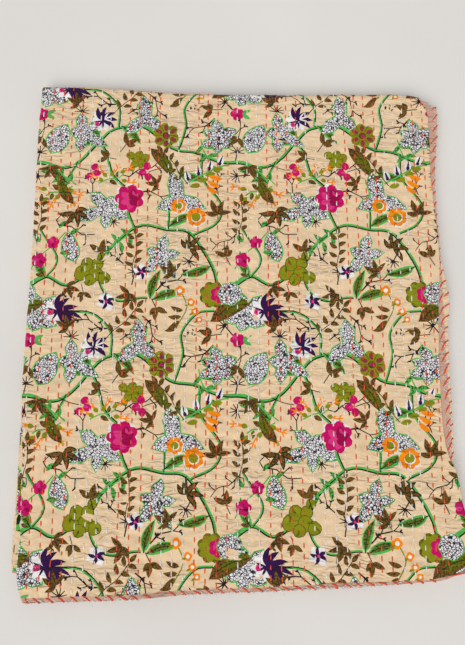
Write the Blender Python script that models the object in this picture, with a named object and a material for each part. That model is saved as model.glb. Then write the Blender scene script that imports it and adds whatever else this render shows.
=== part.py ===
"""A kantha quilt, folded in quarters across and then in quarters along, lying flat.

Metres, with +Z up, +X across and +Y along, away from the hemmed end. The origin is under the middle of
the folded quilt, on the surface that it lies on. The quilt is one cloth of printed cotton, stitched
through, with its edges turned in and hemmed. It is modelled as a flat slab of cloth, cut where it will
bend, and each point of that slab is then carried to its place in the folded stack.
"""

import bisect
import math

import bmesh
import bpy
from mathutils import Vector

MM = 0.001

# The cloth, and the air between its layers and between its bundles of layers
CLOTH = 1.2 * MM
LAYER_GAP = 0.35 * MM
BUNDLE_GAP = 0.4 * MM

# Half the folded width and length, from the middle of the quilt to its plain straight edges
HALF_X = 283 * MM
HALF_Y = 347 * MM

# How far a fold stands out sideways, as a share of half its height
ROUND = 0.75

# The cloth folded across is a bundle of four layers, and the bundle folded along makes four of those
BUNDLE = 4 * CLOTH + 3 * LAYER_GAP
STACK = 4 * BUNDLE + 3 * BUNDLE_GAP

# The rows of running stitches pull the upper face down into shallow channels.
ROWS = 40
ROW_PITCH = 2 * HALF_X / ROWS
ROW_DEPTH = 0.4 * MM
FACE_CUTS_Y = 20
FADE = 0.02

# Where the slab is cut between two folds, from the middle towards the outer fold, and into how many
# steps each fold is cut. The edges wander only outside the core.
CORE_X = 18.5 * ROW_PITCH
CORE_Y = (-305 * MM, 320 * MM)
CUTS_X = (-19.5 * ROW_PITCH, -CORE_X, -6.5 * ROW_PITCH, 6.5 * ROW_PITCH, CORE_X)
CUTS_Y = (CORE_Y[0], -225 * MM, -150 * MM, -50 * MM, 70 * MM, 200 * MM, CORE_Y[1])
ARC_STEPS_X = (4, 2, 2)
ARC_STEPS_Y = (6, 3, 3)

# How far each edge lies outside the plain rectangle, in millimetres, at a place along it from 0 to 1.
# The side edges start at the hemmed end, and the end edges start at the left. Outside the core the end
# edges are straight, so that they suit layers of unlike widths.
# columns: place, outside
RIGHT_FOLD = (
    (0.00, 34), (0.04, 32), (0.15, 18), (0.21, 12), (0.24, 3), (0.31, -3),
    (0.50, 0), (0.63, 7), (0.80, 2), (0.95, 2), (1.00, -8),
)
RIGHT_HEM = (
    (0.00, 4), (0.15, 6), (0.29, 8), (0.48, 8), (0.63, 9), (0.80, 8), (0.91, 16), (0.97, 16), (1.00, 6),
)
UNDER_HEM = (
    (0.00, 5), (0.15, 7), (0.29, 11), (0.48, 13), (0.55, 18), (0.63, 10), (0.80, 7), (0.97, 14), (1.00, 4),
)
LEFT_FOLD = (
    (0.00, -16), (0.03, -7), (0.10, -8), (0.20, -6), (0.29, -3), (0.37, 1), (0.65, -1), (0.90, 0), (1.00, -2),
)
TOP_FOLD = (
    (-0.02, 9), (0.19, 6.5), (0.26, 2.5), (0.33, -0.5), (0.52, -3.5), (0.83, -3.5), (0.963, -5), (1.06, -24),
)
BOTTOM_HEM = (
    (-0.02, 14), (0.037, 11), (0.28, 6.5), (0.36, 1.5), (0.60, -2.5), (0.75, -7.5), (0.963, -13), (1.06, -29),
)
LAST_FOLD = ((-0.02, -21), (0.5, -8), (1.06, -16))
LOWER_HEM = ((-0.02, -21), (0.037, -16), (0.3, 3), (0.6, 2), (0.85, -5), (0.963, -14), (1.06, -26))

# The side edges of the bundles under the upper one, from the lowest bundle up
# columns: outside at the hemmed end, outside at the other, in millimetres
LOWER_LEFT_FOLDS = ((4, 0), (6, 1), (2, -3))
LOWER_RIGHT_FOLDS = ((4, -3), (2, -4), (5, -2))
LOWER_RIGHT_HEMS = ((6, 2), (3, 4), (7, 3))
LOWER_UNDER_HEMS = ((5, 3), (4, 1), (6, 5))

# How far each layer ends short of the hems at the hemmed end, in millimetres, in the order in which
# the cloth takes them
STAGGER = (1.0, 0.0, 3.0, 1.5)

# The stack is plumper or flatter in places.
# columns: x and y of the middle and how far it reaches, in millimetres, and the share it adds to the height
PLUMP = (
    (-90, 190, 170, 0.03),
    (150, -40, 150, 0.03),
    (-200, -240, 120, -0.04),
    (60, -330, 150, -0.05),
    (-240, 60, 90, -0.03),
)

# Where the upper fold spreads past the layers under it, it sinks towards the surface.
SINK = 0.24
SINK_X = (301, 320)
SINK_Y = (-200, -300)

# The longer creases of the upper face
# columns: x and y of one end, x and y of the other, depth and half width, in millimetres
CREASES = (
    (70, 270, 150, 266, -0.5, 9),
    (-230, 262, -150, 270, -0.4, 10),
    (-150, 120, -20, 128, 0.4, 14),
    (30, 30, 190, 14, -0.4, 12),
    (-250, -255, -130, -250, -0.5, 12),
    (-80, -235, 60, -228, 0.5, 14),
    (90, -150, 230, -128, -0.4, 12),
    (225, -60, 272, -110, -0.5, 11),
    (-210, -60, -90, -72, 0.4, 15),
    (-60, -310, 120, -300, -0.4, 12),
)

COLOUR = (0.74, 0.55, 0.35, 1.0)
ROUGHNESS = 0.9


def mix(a, b, share):
    return a + (b - a) * share


def smooth(share):
    """A soft step from 0 to 1."""
    share = min(max(share, 0.0), 1.0)
    return share * share * (3 - 2 * share)


def along_table(table, place):
    """The second column of a table at a place in its first, from millimetres to metres."""
    for (a, low), (b, high) in zip(table, table[1:]):
        if place <= b:
            return mix(low, high, (place - a) / (b - a)) * MM
    return table[-1][1] * MM


class Book:
    """Cloth folded in half and in half again, seen along its folds.

    Places are measured from the middle, with the outer fold at the far side. The cloth goes out to the
    far side on the lowest level, turns there, comes back on the highest level, turns at the near side,
    goes out under itself, and turns inside the first fold to come back to its other end. So it has seven
    parts: runs at the even ones and folds at the odd ones. Its outer face is outside the outer fold.
    """

    LEVELS = (0, 3, 2, 1)

    def __init__(self, thick, gap, half, core, cuts, arc_steps):
        self.thick = thick
        self.half = half
        self.core = core
        self.cuts = cuts
        self.arc_steps = arc_steps
        self.pitch = thick + gap
        self.height = 3 * self.pitch + thick
        self.radii = (self.height / 2 - thick, gap / 2, gap / 2)
        self.middles = (self.height / 2, 2.5 * self.pitch + thick / 2, self.height / 2)
        self.far_reach = ROUND * self.height / 2
        self.near_reach = ROUND * (gap / 2 + thick)
        arcs = [math.pi * (radius + thick / 2) for radius in self.radii]
        self.lengths = (2 * half, arcs[0], 2 * half, arcs[1], 2 * half, arcs[2], 2 * half)

    def start(self, part):
        return sum(self.lengths[:part])

    def ways(self):
        """Where the flat cloth is cut, as distances from its first end."""
        found = [0.0]
        for part, length in enumerate(self.lengths):
            if part % 2:
                steps = self.arc_steps[part // 2]
                shares = [step / steps for step in range(1, steps + 1)]
            else:
                shares = sorted(self.share(cut, part // 2) for cut in self.cuts) + [1.0]
            found += [self.start(part) + share * length for share in shares]
        return found

    def share(self, place, run):
        """The share of a run that lies before a place."""
        share = (place + self.half) / (2 * self.half)
        return 1 - share if run % 2 else share

    def plain_place(self, part, share):
        """The place of a point, on the plain rectangle."""
        if part % 2:
            return -self.half if part == 3 else self.half
        return mix(self.half, -self.half, share) if part // 2 % 2 else mix(-self.half, self.half, share)

    def locate(self, way):
        """The part that holds a distance along the flat cloth, and the share of it that lies before."""
        part = max(part for part in range(7) if way >= self.start(part) - 1e-7)
        return part, min(max((way - self.start(part)) / self.lengths[part], 0.0), 1.0)

    def settled(self, place, near_end, far_end):
        """A place in a run, with the cloth beyond the core drawn in or out to the run's ends."""
        low, high = self.core
        if place > high:
            return mix(high, far_end, (place - high) / (self.half - high))
        if place < low:
            return mix(low, near_end, (low - place) / (low + self.half))
        return place

    def folded(self, part, share, out, first_end, far, near, last_end):
        """(place, height) of a point. out is 0 on the inner face and 1 on the outer one."""
        run = part // 2
        if part % 2:
            radius = self.radii[run] + self.thick * (1 - out if run == 2 else out)
            angle = math.pi * (share - 0.5)
            past = ROUND * radius * math.cos(angle)
            rise = radius * math.sin(angle)
            if run == 0:
                return far - self.far_reach + past, self.middles[0] + rise
            if run == 1:
                return near + self.near_reach - past, self.middles[1] - rise
            return far - self.far_reach + past, self.middles[2] - rise
        near_end = (first_end, near + self.near_reach, near + self.near_reach, last_end)[run]
        place = self.settled(self.plain_place(part, share), near_end, far - self.far_reach)
        level_share = out if run % 2 else 1 - out
        return place, self.LEVELS[run] * self.pitch + level_share * self.thick


ACROSS = Book(CLOTH, LAYER_GAP, HALF_X, (-CORE_X, CORE_X), CUTS_X, ARC_STEPS_X)
ALONG = Book(BUNDLE, BUNDLE_GAP, HALF_Y, CORE_Y, CUTS_Y, ARC_STEPS_Y)

# The upper face is the outer face of the second run across and of the first run along.
FACE_PART_X = 2
FACE_PART_Y = 0


def run_number(part, share):
    """The run that a point belongs to, from 0 to 3, changing softly over the folds."""
    return part // 2 + (smooth(share) if part % 2 else 0.0)


def by_run(values, run):
    low = min(int(run), 2)
    return mix(values[low], values[low + 1], run - low)


def side_edges(place, run):
    """How far the under hem, left fold, right fold and upper hem lie from the middle, at a place
    along the quilt from 0 to 1 in one of the four bundles."""
    pairs = (
        (UNDER_HEM, LOWER_UNDER_HEMS),
        (LEFT_FOLD, LOWER_LEFT_FOLDS),
        (RIGHT_FOLD, LOWER_RIGHT_FOLDS),
        (RIGHT_HEM, LOWER_RIGHT_HEMS),
    )
    found = []
    for upper, lower in pairs:
        values = [along_table(upper, place)] + [mix(a, b, place) * MM for a, b in lower]
        found.append(HALF_X + by_run(values, run))
    return found


def end_edges(place, layer):
    """How far the upper hem, top fold, last fold and lower hem lie from the middle, at a place across
    the quilt from 0 to 1 in one of the four layers."""
    short = by_run(STAGGER, layer) * MM
    return (
        HALF_Y + along_table(BOTTOM_HEM, place) - short,
        HALF_Y + along_table(TOP_FOLD, place),
        HALF_Y + along_table(LAST_FOLD, place),
        HALF_Y + along_table(LOWER_HEM, place) - short,
    )


def pressed(x, y):
    """The share of its plain height that the stack has at a place."""
    share = 1.0
    for middle_x, middle_y, reach, more in PLUMP:
        away = math.hypot(x / MM - middle_x, y / MM - middle_y) / reach
        share += more * math.exp(-away * away)
    past = (x / MM - SINK_X[0]) / (SINK_X[1] - SINK_X[0])
    beside = (y / MM - SINK_Y[0]) / (SINK_Y[1] - SINK_Y[0])
    return share * (1 - SINK * min(max(past, 0.0), 1.0) * smooth(beside))


def relief(x, y, across_way):
    """How far the upper face stands above its plain height."""
    row = (across_way - ACROSS.start(FACE_PART_X)) / ROW_PITCH
    height = -ROW_DEPTH * (0.5 - 0.5 * math.cos(2 * math.pi * row))
    for x0, y0, x1, y1, depth, half_width in CREASES:
        dx, dy = (x1 - x0), (y1 - y0)
        px, py = x / MM - x0, y / MM - y0
        share = min(max((px * dx + py * dy) / (dx * dx + dy * dy), 0.0), 1.0)
        away = math.hypot(px - share * dx, py - share * dy) / half_width
        height += depth * MM * math.exp(-away * away)
    return height


def fold(point):
    """Carries a point of the flat slab to its place in the folded quilt."""
    part_x, share_x = ACROSS.locate(point.x)
    part_y, share_y = ALONG.locate(point.y)
    bundle, layer = run_number(part_y, share_y), run_number(part_x, share_x)

    plain_y = ALONG.plain_place(part_y, share_y)
    under_hem, left, right, hem = side_edges((plain_y + HALF_Y) / (2 * HALF_Y), bundle)
    leftward, bundle_height = ACROSS.folded(
        part_x, share_x, point.z / CLOTH, -under_hem, left, -right, -hem
    )
    x = -leftward

    upper_hem, top, last_fold, lower_hem = end_edges((x + HALF_X) / (2 * HALF_X), layer)
    y, depth = ALONG.folded(
        part_y, share_y, bundle_height / BUNDLE, -upper_hem, top, -last_fold, -lower_hem
    )
    return Vector((x, y, (STACK - depth) * pressed(x, y)))


class Folding:
    """Carries the cuts of the slab to their places, and the points between them onto flat triangles."""

    def __init__(self, ways_x, ways_y):
        self.ways_x = ways_x
        self.ways_y = ways_y
        self.known = {}

    def cut_point(self, i, j, z):
        if (i, j, z) not in self.known:
            self.known[i, j, z] = fold(Vector((self.ways_x[i], self.ways_y[j], z)))
        return self.known[i, j, z]

    def __call__(self, point):
        (i, across), (j, along) = between(self.ways_x, point.x), between(self.ways_y, point.y)
        z = CLOTH if point.z > CLOTH / 2 else 0.0
        corners = [[self.cut_point(i + di, j + dj, z) for dj in (0, 1)] for di in (0, 1)]
        if not same_sense(self.ways_x[i], self.ways_y[j]):
            corners.reverse()
            across = 1 - across
        start, end = corners[0][0], corners[1][1]
        if across > along:
            turn = corners[1][0]
            place = start + across * (turn - start) + along * (end - turn)
        else:
            turn = corners[0][1]
            place = start + along * (turn - start) + across * (end - turn)
        if on_face(point):
            place.z += edge_fade(point) * relief(place.x, place.y, point.x)
        return place


def same_sense(way_x, way_y):
    """True where x and y both grow, or both shrink, along the flat cloth. The diagonals of the coarse
    faces follow it, so that they lie one above the other in the stack."""
    part_x, _ = ACROSS.locate(way_x + CLOTH / 10)
    part_y, _ = ALONG.locate(way_y + CLOTH / 10)
    return part_x // 2 % 2 != part_y // 2 % 2


def between(ways, way):
    """The number of the last cut before a place, and the share of the next step that lies before it."""
    number = min(max(bisect.bisect_right(ways, way) - 1, 0), len(ways) - 2)
    share = (way - ways[number]) / (ways[number + 1] - ways[number])
    return number, min(max(share, 0.0), 1.0)


def on_face(point):
    """True for a point of the slab that lies on the upper face of the folded quilt."""
    part_x, _ = ACROSS.locate(point.x)
    part_y, _ = ALONG.locate(point.y)
    return point.z > CLOTH / 2 and part_x == FACE_PART_X and part_y == FACE_PART_Y


def edge_fade(point):
    """0 on the edges of the upper face and 1 a little inside them."""
    _, share_x = ACROSS.locate(point.x)
    _, share_y = ALONG.locate(point.y)
    return smooth(share_x * (1 - share_x) / FADE) * smooth(share_y * (1 - share_y) / FADE)


def flat_slab(mesh):
    """The flat cloth, as a closed slab that is cut where it will bend."""
    ways_x, ways_y = ACROSS.ways(), ALONG.ways()
    low, high = [[[mesh.verts.new((x, y, z)) for y in ways_y] for x in ways_x] for z in (0.0, CLOTH)]
    last_x, last_y = len(ways_x) - 1, len(ways_y) - 1
    for i in range(last_x):
        for j in range(last_y):
            ring = ((i, j), (i + 1, j), (i + 1, j + 1), (i, j + 1))
            if not same_sense(ways_x[i], ways_y[j]):
                ring = ring[1:] + ring[:1]
            halves = (ring[:3], (ring[0], *ring[2:]))
            middle = (high[i][j].co + high[i + 1][j + 1].co) / 2
            for corners in (ring,) if on_face(middle) else halves:
                mesh.faces.new([high[a][b] for a, b in corners])
            for corners in halves:
                mesh.faces.new([low[a][b] for a, b in reversed(corners)])
        for j, step in ((0, 1), (last_y, -1)):
            rim = (low[i][j], low[i + 1][j], high[i + 1][j], high[i][j])
            mesh.faces.new(rim[::step])
    for j in range(last_y):
        for i, step in ((0, -1), (last_x, 1)):
            rim = (low[i][j], low[i][j + 1], high[i][j + 1], high[i][j])
            mesh.faces.new(rim[::step])


def cut_face(mesh):
    """Cuts the part of the slab that becomes the upper face, along and between its rows of stitches."""
    start_x, start_y = ACROSS.start(FACE_PART_X), ALONG.start(FACE_PART_Y)
    length_y = ALONG.lengths[FACE_PART_Y]
    planes = [(start_x + step * ROW_PITCH / 2, 0) for step in range(1, 2 * ROWS)]
    planes += [(start_y + step * length_y / FACE_CUTS_Y, 1) for step in range(1, FACE_CUTS_Y)]
    for way, axis in planes:
        faces = [face for face in mesh.faces if on_face(face.calc_center_median()) and face.normal.z > 0.5]
        edges = {edge for face in faces for edge in face.edges}
        points = {vert for face in faces for vert in face.verts}
        bmesh.ops.bisect_plane(
            mesh,
            geom=[*faces, *edges, *points],
            dist=1e-5,
            plane_co=Vector((way, way, 0)),
            plane_no=Vector((1 - axis, axis, 0)),
        )
        mesh.normal_update()


def cloth_material():
    material = bpy.data.materials.new("printed cotton")
    material.use_nodes = True
    shader = material.node_tree.nodes["Principled BSDF"]
    shader.inputs["Base Color"].default_value = COLOUR
    shader.inputs["Roughness"].default_value = ROUGHNESS
    shader.inputs["Metallic"].default_value = 0.0
    return material


def make_quilt():
    mesh = bmesh.new()
    flat_slab(mesh)
    mesh.normal_update()
    cut_face(mesh)
    bmesh.ops.triangulate(mesh, faces=mesh.faces[:], quad_method="BEAUTY", ngon_method="EAR_CLIP")
    folding = Folding(ACROSS.ways(), ALONG.ways())
    for vert in mesh.verts:
        vert.co = folding(vert.co)
    lows = [min(vert.co[axis] for vert in mesh.verts) for axis in range(3)]
    highs = [max(vert.co[axis] for vert in mesh.verts) for axis in range(3)]
    middle = Vector(((lows[0] + highs[0]) / 2, (lows[1] + highs[1]) / 2, lows[2]))
    bmesh.ops.translate(mesh, verts=mesh.verts[:], vec=-middle)
    data = bpy.data.meshes.new("quilt")
    mesh.to_mesh(data)
    mesh.free()
    data.materials.append(cloth_material())
    data.shade_smooth()
    data.set_sharp_from_angle(angle=math.radians(50))
    quilt = bpy.data.objects.new("quilt", data)
    bpy.context.scene.collection.objects.link(quilt)
    return quilt


for old in list(bpy.data.objects):
    bpy.data.objects.remove(old)
make_quilt()
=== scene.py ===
"""The looks of the folded kantha quilt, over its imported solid.

Metres, in the frame of the solid: +X across the folded quilt, +Y along it, away from its hemmed end, and
+Z up. The cloth is laid out flat as one mesh, cut along the outlines of its print, and carried to its
folds by the same functions as the solid. Threads are then sewn onto the folded cloth.
"""

import math
import random

import bpy
import numpy as np
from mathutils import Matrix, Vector, noise
from mathutils.geometry import delaunay_2d_cdt
from mathutils.kdtree import KDTree


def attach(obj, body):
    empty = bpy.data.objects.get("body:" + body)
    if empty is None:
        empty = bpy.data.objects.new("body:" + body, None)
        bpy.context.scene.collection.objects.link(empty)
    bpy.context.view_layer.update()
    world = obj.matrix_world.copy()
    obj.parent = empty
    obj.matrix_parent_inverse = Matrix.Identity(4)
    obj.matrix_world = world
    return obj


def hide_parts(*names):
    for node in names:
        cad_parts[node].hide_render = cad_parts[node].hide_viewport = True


MM = 0.001

# ---------------------------------------------------------------- the cloth and its folds

# The cloth, and the air between its layers and between its bundles of layers
CLOTH = 1.2 * MM
LAYER_GAP = 0.35 * MM
BUNDLE_GAP = 0.4 * MM

# Half the folded width and length, from the middle of the quilt to its plain straight edges
HALF_X = 283 * MM
HALF_Y = 347 * MM

# Where the frame's origin lies from the middle of the plain rectangle
MIDDLE = Vector((14.0, -1.28, 0.0)) * MM

# How far a fold stands out sideways, as a share of half its height
ROUND = 0.75

BUNDLE = 4 * CLOTH + 3 * LAYER_GAP
STACK = 4 * BUNDLE + 3 * BUNDLE_GAP

ROWS = 40
ROW_PITCH = 2 * HALF_X / ROWS

# The edges wander only outside the core. Each run is cut about this far apart, and each fold into steps.
CORE_X = 18.5 * ROW_PITCH
CORE_Y = (-305 * MM, 320 * MM)
CUT_X = 57 * MM
CUT_Y = 29 * MM
ARC_STEPS_X = (8, 5, 4)
ARC_STEPS_Y = (12, 6, 6)

# How far each edge lies outside the plain rectangle, in millimetres, at a place along it from 0 to 1.
# The side edges start at the hemmed end, and the end edges start at the left.
# columns: place, outside
RIGHT_FOLD = (
    (0.00, 34), (0.04, 32), (0.15, 18), (0.21, 12), (0.24, 3), (0.31, -3),
    (0.50, 0), (0.63, 7), (0.80, 2), (0.95, 2), (1.00, -8),
)
RIGHT_HEM = (
    (0.00, 4), (0.15, 6), (0.29, 8), (0.48, 8), (0.63, 9), (0.80, 8), (0.91, 16), (0.97, 16), (1.00, 6),
)
UNDER_HEM = (
    (0.00, 5), (0.15, 7), (0.29, 11), (0.48, 13), (0.55, 18), (0.63, 10), (0.80, 7), (0.97, 14), (1.00, 4),
)
LEFT_FOLD = (
    (0.00, -16), (0.03, -7), (0.10, -8), (0.20, -6), (0.29, -3), (0.37, 1), (0.65, -1), (0.90, 0), (1.00, -2),
)
TOP_FOLD = (
    (-0.02, 9), (0.19, 6.5), (0.26, 2.5), (0.33, -0.5), (0.52, -3.5), (0.83, -3.5), (0.963, -5), (1.06, -24),
)
BOTTOM_HEM = (
    (-0.02, 17), (0.037, 14.5), (0.28, 9.5), (0.36, 5), (0.60, -0.5), (0.75, -6), (0.963, -12), (1.06, -29),
)
LAST_FOLD = ((-0.02, -21), (0.5, -8), (1.06, -16))
LOWER_HEM = ((-0.02, -21), (0.037, -16), (0.3, 3), (0.6, 2), (0.85, -5), (0.963, -14), (1.06, -26))

# The side edges of the bundles under the upper one, from the lowest bundle up
# columns: outside at the hemmed end, outside at the other, in millimetres
LOWER_LEFT_FOLDS = ((4, 0), (6, 1), (2, -3))
LOWER_RIGHT_FOLDS = ((4, -3), (2, -4), (5, -2))
LOWER_RIGHT_HEMS = ((6, 2), (3, 4), (7, 3))
LOWER_UNDER_HEMS = ((5, 3), (4, 1), (6, 5))

# How far each layer ends short of the hems at the hemmed end, in millimetres
STAGGER = (1.0, 0.0, 3.0, 1.5)

# The stack is plumper or flatter in places.
# columns: x and y of the middle and how far it reaches, in millimetres, and the share it adds to the height
PLUMP = (
    (-90, 190, 170, 0.03),
    (150, -40, 150, 0.03),
    (-200, -240, 120, -0.04),
    (60, -330, 150, -0.05),
    (-240, 60, 90, -0.03),
)

# Where the upper fold spreads past the layers under it, it sinks towards the surface.
SINK = 0.24
SINK_X = (301, 320)
SINK_Y = (-200, -300)

# The longer creases of the upper face
# columns: x and y of one end, x and y of the other, depth and half width, in millimetres
CREASES = (
    (70, 270, 150, 266, -0.5, 9),
    (-230, 262, -150, 270, -0.4, 10),
    (-150, 120, -20, 128, 0.4, 14),
    (30, 30, 190, 14, -0.4, 12),
    (-250, -255, -130, -250, -0.5, 12),
    (-80, -235, 60, -228, 0.5, 14),
    (90, -150, 230, -128, -0.4, 12),
    (225, -60, 272, -110, -0.5, 11),
    (-210, -60, -90, -72, 0.4, 15),
    (-60, -310, 120, -300, -0.4, 12),
)

# The small waves of the side and end edges: how far out they go, and how long they are as a share of the
# quilt's length and width
SIDE_PUCKER = 0.9 * MM
SIDE_PUCKER_LENGTH = 0.021
END_PUCKER = 0.8 * MM
END_PUCKER_LENGTH = 0.024

# The channel along each row of stitches, how far the row strays from its line, and over what length
ROW_DEPTH = 0.4 * MM
ROW_WIDTH = 2.6 * MM
ROW_STRAY = 1.1 * MM
ROW_STRAY_LENGTH = 90 * MM

# The crinkle that the stitches draw up between them. It dies away towards the folds, and is weaker in the
# channels and in calm places.
CRINKLE = 1.9 * MM
CRINKLE_END = 9 * MM
# columns: length across and along the quilt, in millimetres, and share of the crinkle's height
CRINKLES = ((42, 12, 0.8), (20, 8.5, 0.3), (110, 36, 0.8))
# The noise of each is folded over into sharp valleys between rounded ridges, and lowered.
RIDGE_HEIGHT = 2.2
RIDGE_SHAPE = 0.8
RIDGE_LOWERED = 0.5
LOST_IN_CHANNEL = 0.3
LEFT_IN_CALM = 0.45
CALM_X = 130 * MM
CALM_Y = 100 * MM
CALM_MIDDLE = 0.75
CALM_SWING = 1.6

# Numbers that only pick a stretch of the noise of its own for each use
NOISE_OF_ENDS = 17.0
NOISE_OF_ROWS = 5.0
NOISE_OF_CALM = 31.0


def mix(a, b, share):
    return a + (b - a) * share


def smooth(share):
    """A soft step from 0 to 1."""
    share = min(max(share, 0.0), 1.0)
    return share * share * (3 - 2 * share)


def along_table(table, place):
    """The second column of a table at a place in its first, from millimetres to metres, on a smooth
    line through the table's points."""
    last = len(table) - 1
    number = 0
    while number < last - 1 and place > table[number + 1][0]:
        number += 1
    (a, low), (b, high) = table[number], table[number + 1]
    share = min(max((place - a) / (b - a), 0.0), 1.0)
    slopes = []
    for middle in (number, number + 1):
        (c, before), (d, after) = table[max(middle - 1, 0)], table[min(middle + 1, last)]
        slopes.append((after - before) / (d - c) * (b - a))
    straight = mix(low, high, share)
    lean = (slopes[0] - (high - low)) * (1 - share) - (slopes[1] - (high - low)) * share
    return (straight + share * (1 - share) * lean) * MM


class Book:
    """Cloth folded in half and in half again, seen along its folds.

    Places are measured from the middle, with the outer fold at the far side. The cloth goes out to the
    far side on the lowest level, turns there, comes back on the highest level, turns at the near side,
    goes out under itself, and turns inside the first fold to come back to its other end. So it has seven
    parts: runs at the even ones and folds at the odd ones. Its outer face is outside the outer fold.
    """

    LEVELS = (0, 3, 2, 1)

    def __init__(self, thick, gap, half, core, arc_steps):
        self.thick = thick
        self.half = half
        self.core = core
        self.arc_steps = arc_steps
        self.pitch = thick + gap
        self.height = 3 * self.pitch + thick
        self.radii = (self.height / 2 - thick, gap / 2, gap / 2)
        self.middles = (self.height / 2, 2.5 * self.pitch + thick / 2, self.height / 2)
        self.far_reach = ROUND * self.height / 2
        self.near_reach = ROUND * (gap / 2 + thick)
        arcs = [math.pi * (radius + thick / 2) for radius in self.radii]
        self.lengths = (2 * half, arcs[0], 2 * half, arcs[1], 2 * half, arcs[2], 2 * half)
        self.starts = [sum(self.lengths[:part]) for part in range(8)]

    def cuts(self, step):
        """Where the flat cloth is cut, as distances from its first end."""
        found = [0.0]
        for part, length in enumerate(self.lengths):
            steps = self.arc_steps[part // 2] if part % 2 else round(length / step)
            found += [self.starts[part] + length * k / steps for k in range(1, steps + 1)]
        return found

    def plain_place(self, part, share):
        """The place of a point, on the plain rectangle."""
        if part % 2:
            return -self.half if part == 3 else self.half
        return mix(self.half, -self.half, share) if part // 2 % 2 else mix(-self.half, self.half, share)

    def locate(self, way):
        """The part that holds a distance along the flat cloth, and the share of it that lies before."""
        part = max(part for part in range(7) if way >= self.starts[part] - 1e-7)
        return part, min(max((way - self.starts[part]) / self.lengths[part], 0.0), 1.0)

    def settled(self, place, near_end, far_end):
        """A place in a run, with the cloth beyond the core drawn in or out to the run's ends."""
        low, high = self.core
        if place > high:
            return mix(high, far_end, (place - high) / (self.half - high))
        if place < low:
            return mix(low, near_end, (low - place) / (low + self.half))
        return place

    def folded(self, part, share, out, first_end, far, near, last_end):
        """(place, height) of a point. out is 0 on the inner face and 1 on the outer one."""
        run = part // 2
        if part % 2:
            radius = self.radii[run] + self.thick * (1 - out if run == 2 else out)
            angle = math.pi * (share - 0.5)
            past = ROUND * radius * math.cos(angle)
            rise = radius * math.sin(angle)
            if run == 0:
                return far - self.far_reach + past, self.middles[0] + rise
            if run == 1:
                return near + self.near_reach - past, self.middles[1] - rise
            return far - self.far_reach + past, self.middles[2] - rise
        near_end = (first_end, near + self.near_reach, near + self.near_reach, last_end)[run]
        place = self.settled(self.plain_place(part, share), near_end, far - self.far_reach)
        level_share = out if run % 2 else 1 - out
        return place, self.LEVELS[run] * self.pitch + level_share * self.thick


ACROSS = Book(CLOTH, LAYER_GAP, HALF_X, (-CORE_X, CORE_X), ARC_STEPS_X)
ALONG = Book(BUNDLE, BUNDLE_GAP, HALF_Y, CORE_Y, ARC_STEPS_Y)
FLAT_X, FLAT_Y = ACROSS.starts[7], ALONG.starts[7]

# The upper face is the outer face of the second run across and of the first run along. The outside of
# the whole folded quilt runs on from it over the folds beside it, and along it to the underside.
FACE_PART_X = 2
FACE_PART_Y = 0
OUTSIDE_X = (ACROSS.starts[1], ACROSS.starts[4])
OUTSIDE_END = ALONG.starts[4]
FACE_X, FACE_Y = ACROSS.starts[FACE_PART_X], ALONG.starts[FACE_PART_Y]


def run_number(part, share):
    """The run that a point belongs to, from 0 to 3, changing softly over the folds."""
    return part // 2 + (smooth(share) if part % 2 else 0.0)


def by_run(values, run):
    """The value of a run or, over a fold, between those of two runs."""
    low = min(int(run), 2)
    return mix(values[low], values[low + 1], run - low)


def side_edges(place, run):
    """How far the under hem, left fold, right fold and upper hem lie from the middle, at a place
    along the quilt from 0 to 1 in one of the four bundles."""
    pairs = (
        (UNDER_HEM, LOWER_UNDER_HEMS),
        (LEFT_FOLD, LOWER_LEFT_FOLDS),
        (RIGHT_FOLD, LOWER_RIGHT_FOLDS),
        (RIGHT_HEM, LOWER_RIGHT_HEMS),
    )
    found = []
    for number, (upper, lower) in enumerate(pairs):
        values = [along_table(upper, place)] + [mix(a, b, place) * MM for a, b in lower]
        pucker = SIDE_PUCKER * noise.noise(Vector((place / SIDE_PUCKER_LENGTH, run * 1.7, 3.0 * number)))
        found.append(HALF_X + by_run(values, run) + pucker)
    return found


def end_edges(place, layer):
    """How far the upper hem, top fold, last fold and lower hem lie from the middle, at a place across
    the quilt from 0 to 1 in one of the four layers."""
    short = by_run(STAGGER, layer) * MM
    pucker = END_PUCKER * noise.noise(Vector((place / END_PUCKER_LENGTH, layer * 1.3, NOISE_OF_ENDS)))
    return (
        HALF_Y + along_table(BOTTOM_HEM, place) - short + pucker,
        HALF_Y + along_table(TOP_FOLD, place) + pucker,
        HALF_Y + along_table(LAST_FOLD, place),
        HALF_Y + along_table(LOWER_HEM, place) - short + pucker,
    )


def pressed(x, y):
    """The share of its plain height that the stack has at a place."""
    share = 1.0
    for middle_x, middle_y, reach, more in PLUMP:
        away = math.hypot(x / MM - middle_x, y / MM - middle_y) / reach
        share += more * math.exp(-away * away)
    past = (x / MM - SINK_X[0]) / (SINK_X[1] - SINK_X[0])
    beside = (y / MM - SINK_Y[0]) / (SINK_Y[1] - SINK_Y[0])
    return share * (1 - SINK * min(max(past, 0.0), 1.0) * smooth(beside))


def crease(x, y):
    """The longer creases of the upper face, in metres."""
    height = 0.0
    for x0, y0, x1, y1, depth, half_width in CREASES:
        dx, dy = (x1 - x0), (y1 - y0)
        px, py = x / MM - x0, y / MM - y0
        share = min(max((px * dx + py * dy) / (dx * dx + dy * dy), 0.0), 1.0)
        away = math.hypot(px - share * dx, py - share * dy) / half_width
        height += depth * MM * math.exp(-away * away)
    return height


def row_wander(row, q):
    """How far a row of stitches strays from its line."""
    return ROW_STRAY * noise.noise(Vector((row * 3.7, q / ROW_STRAY_LENGTH, NOISE_OF_ROWS)))


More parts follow.
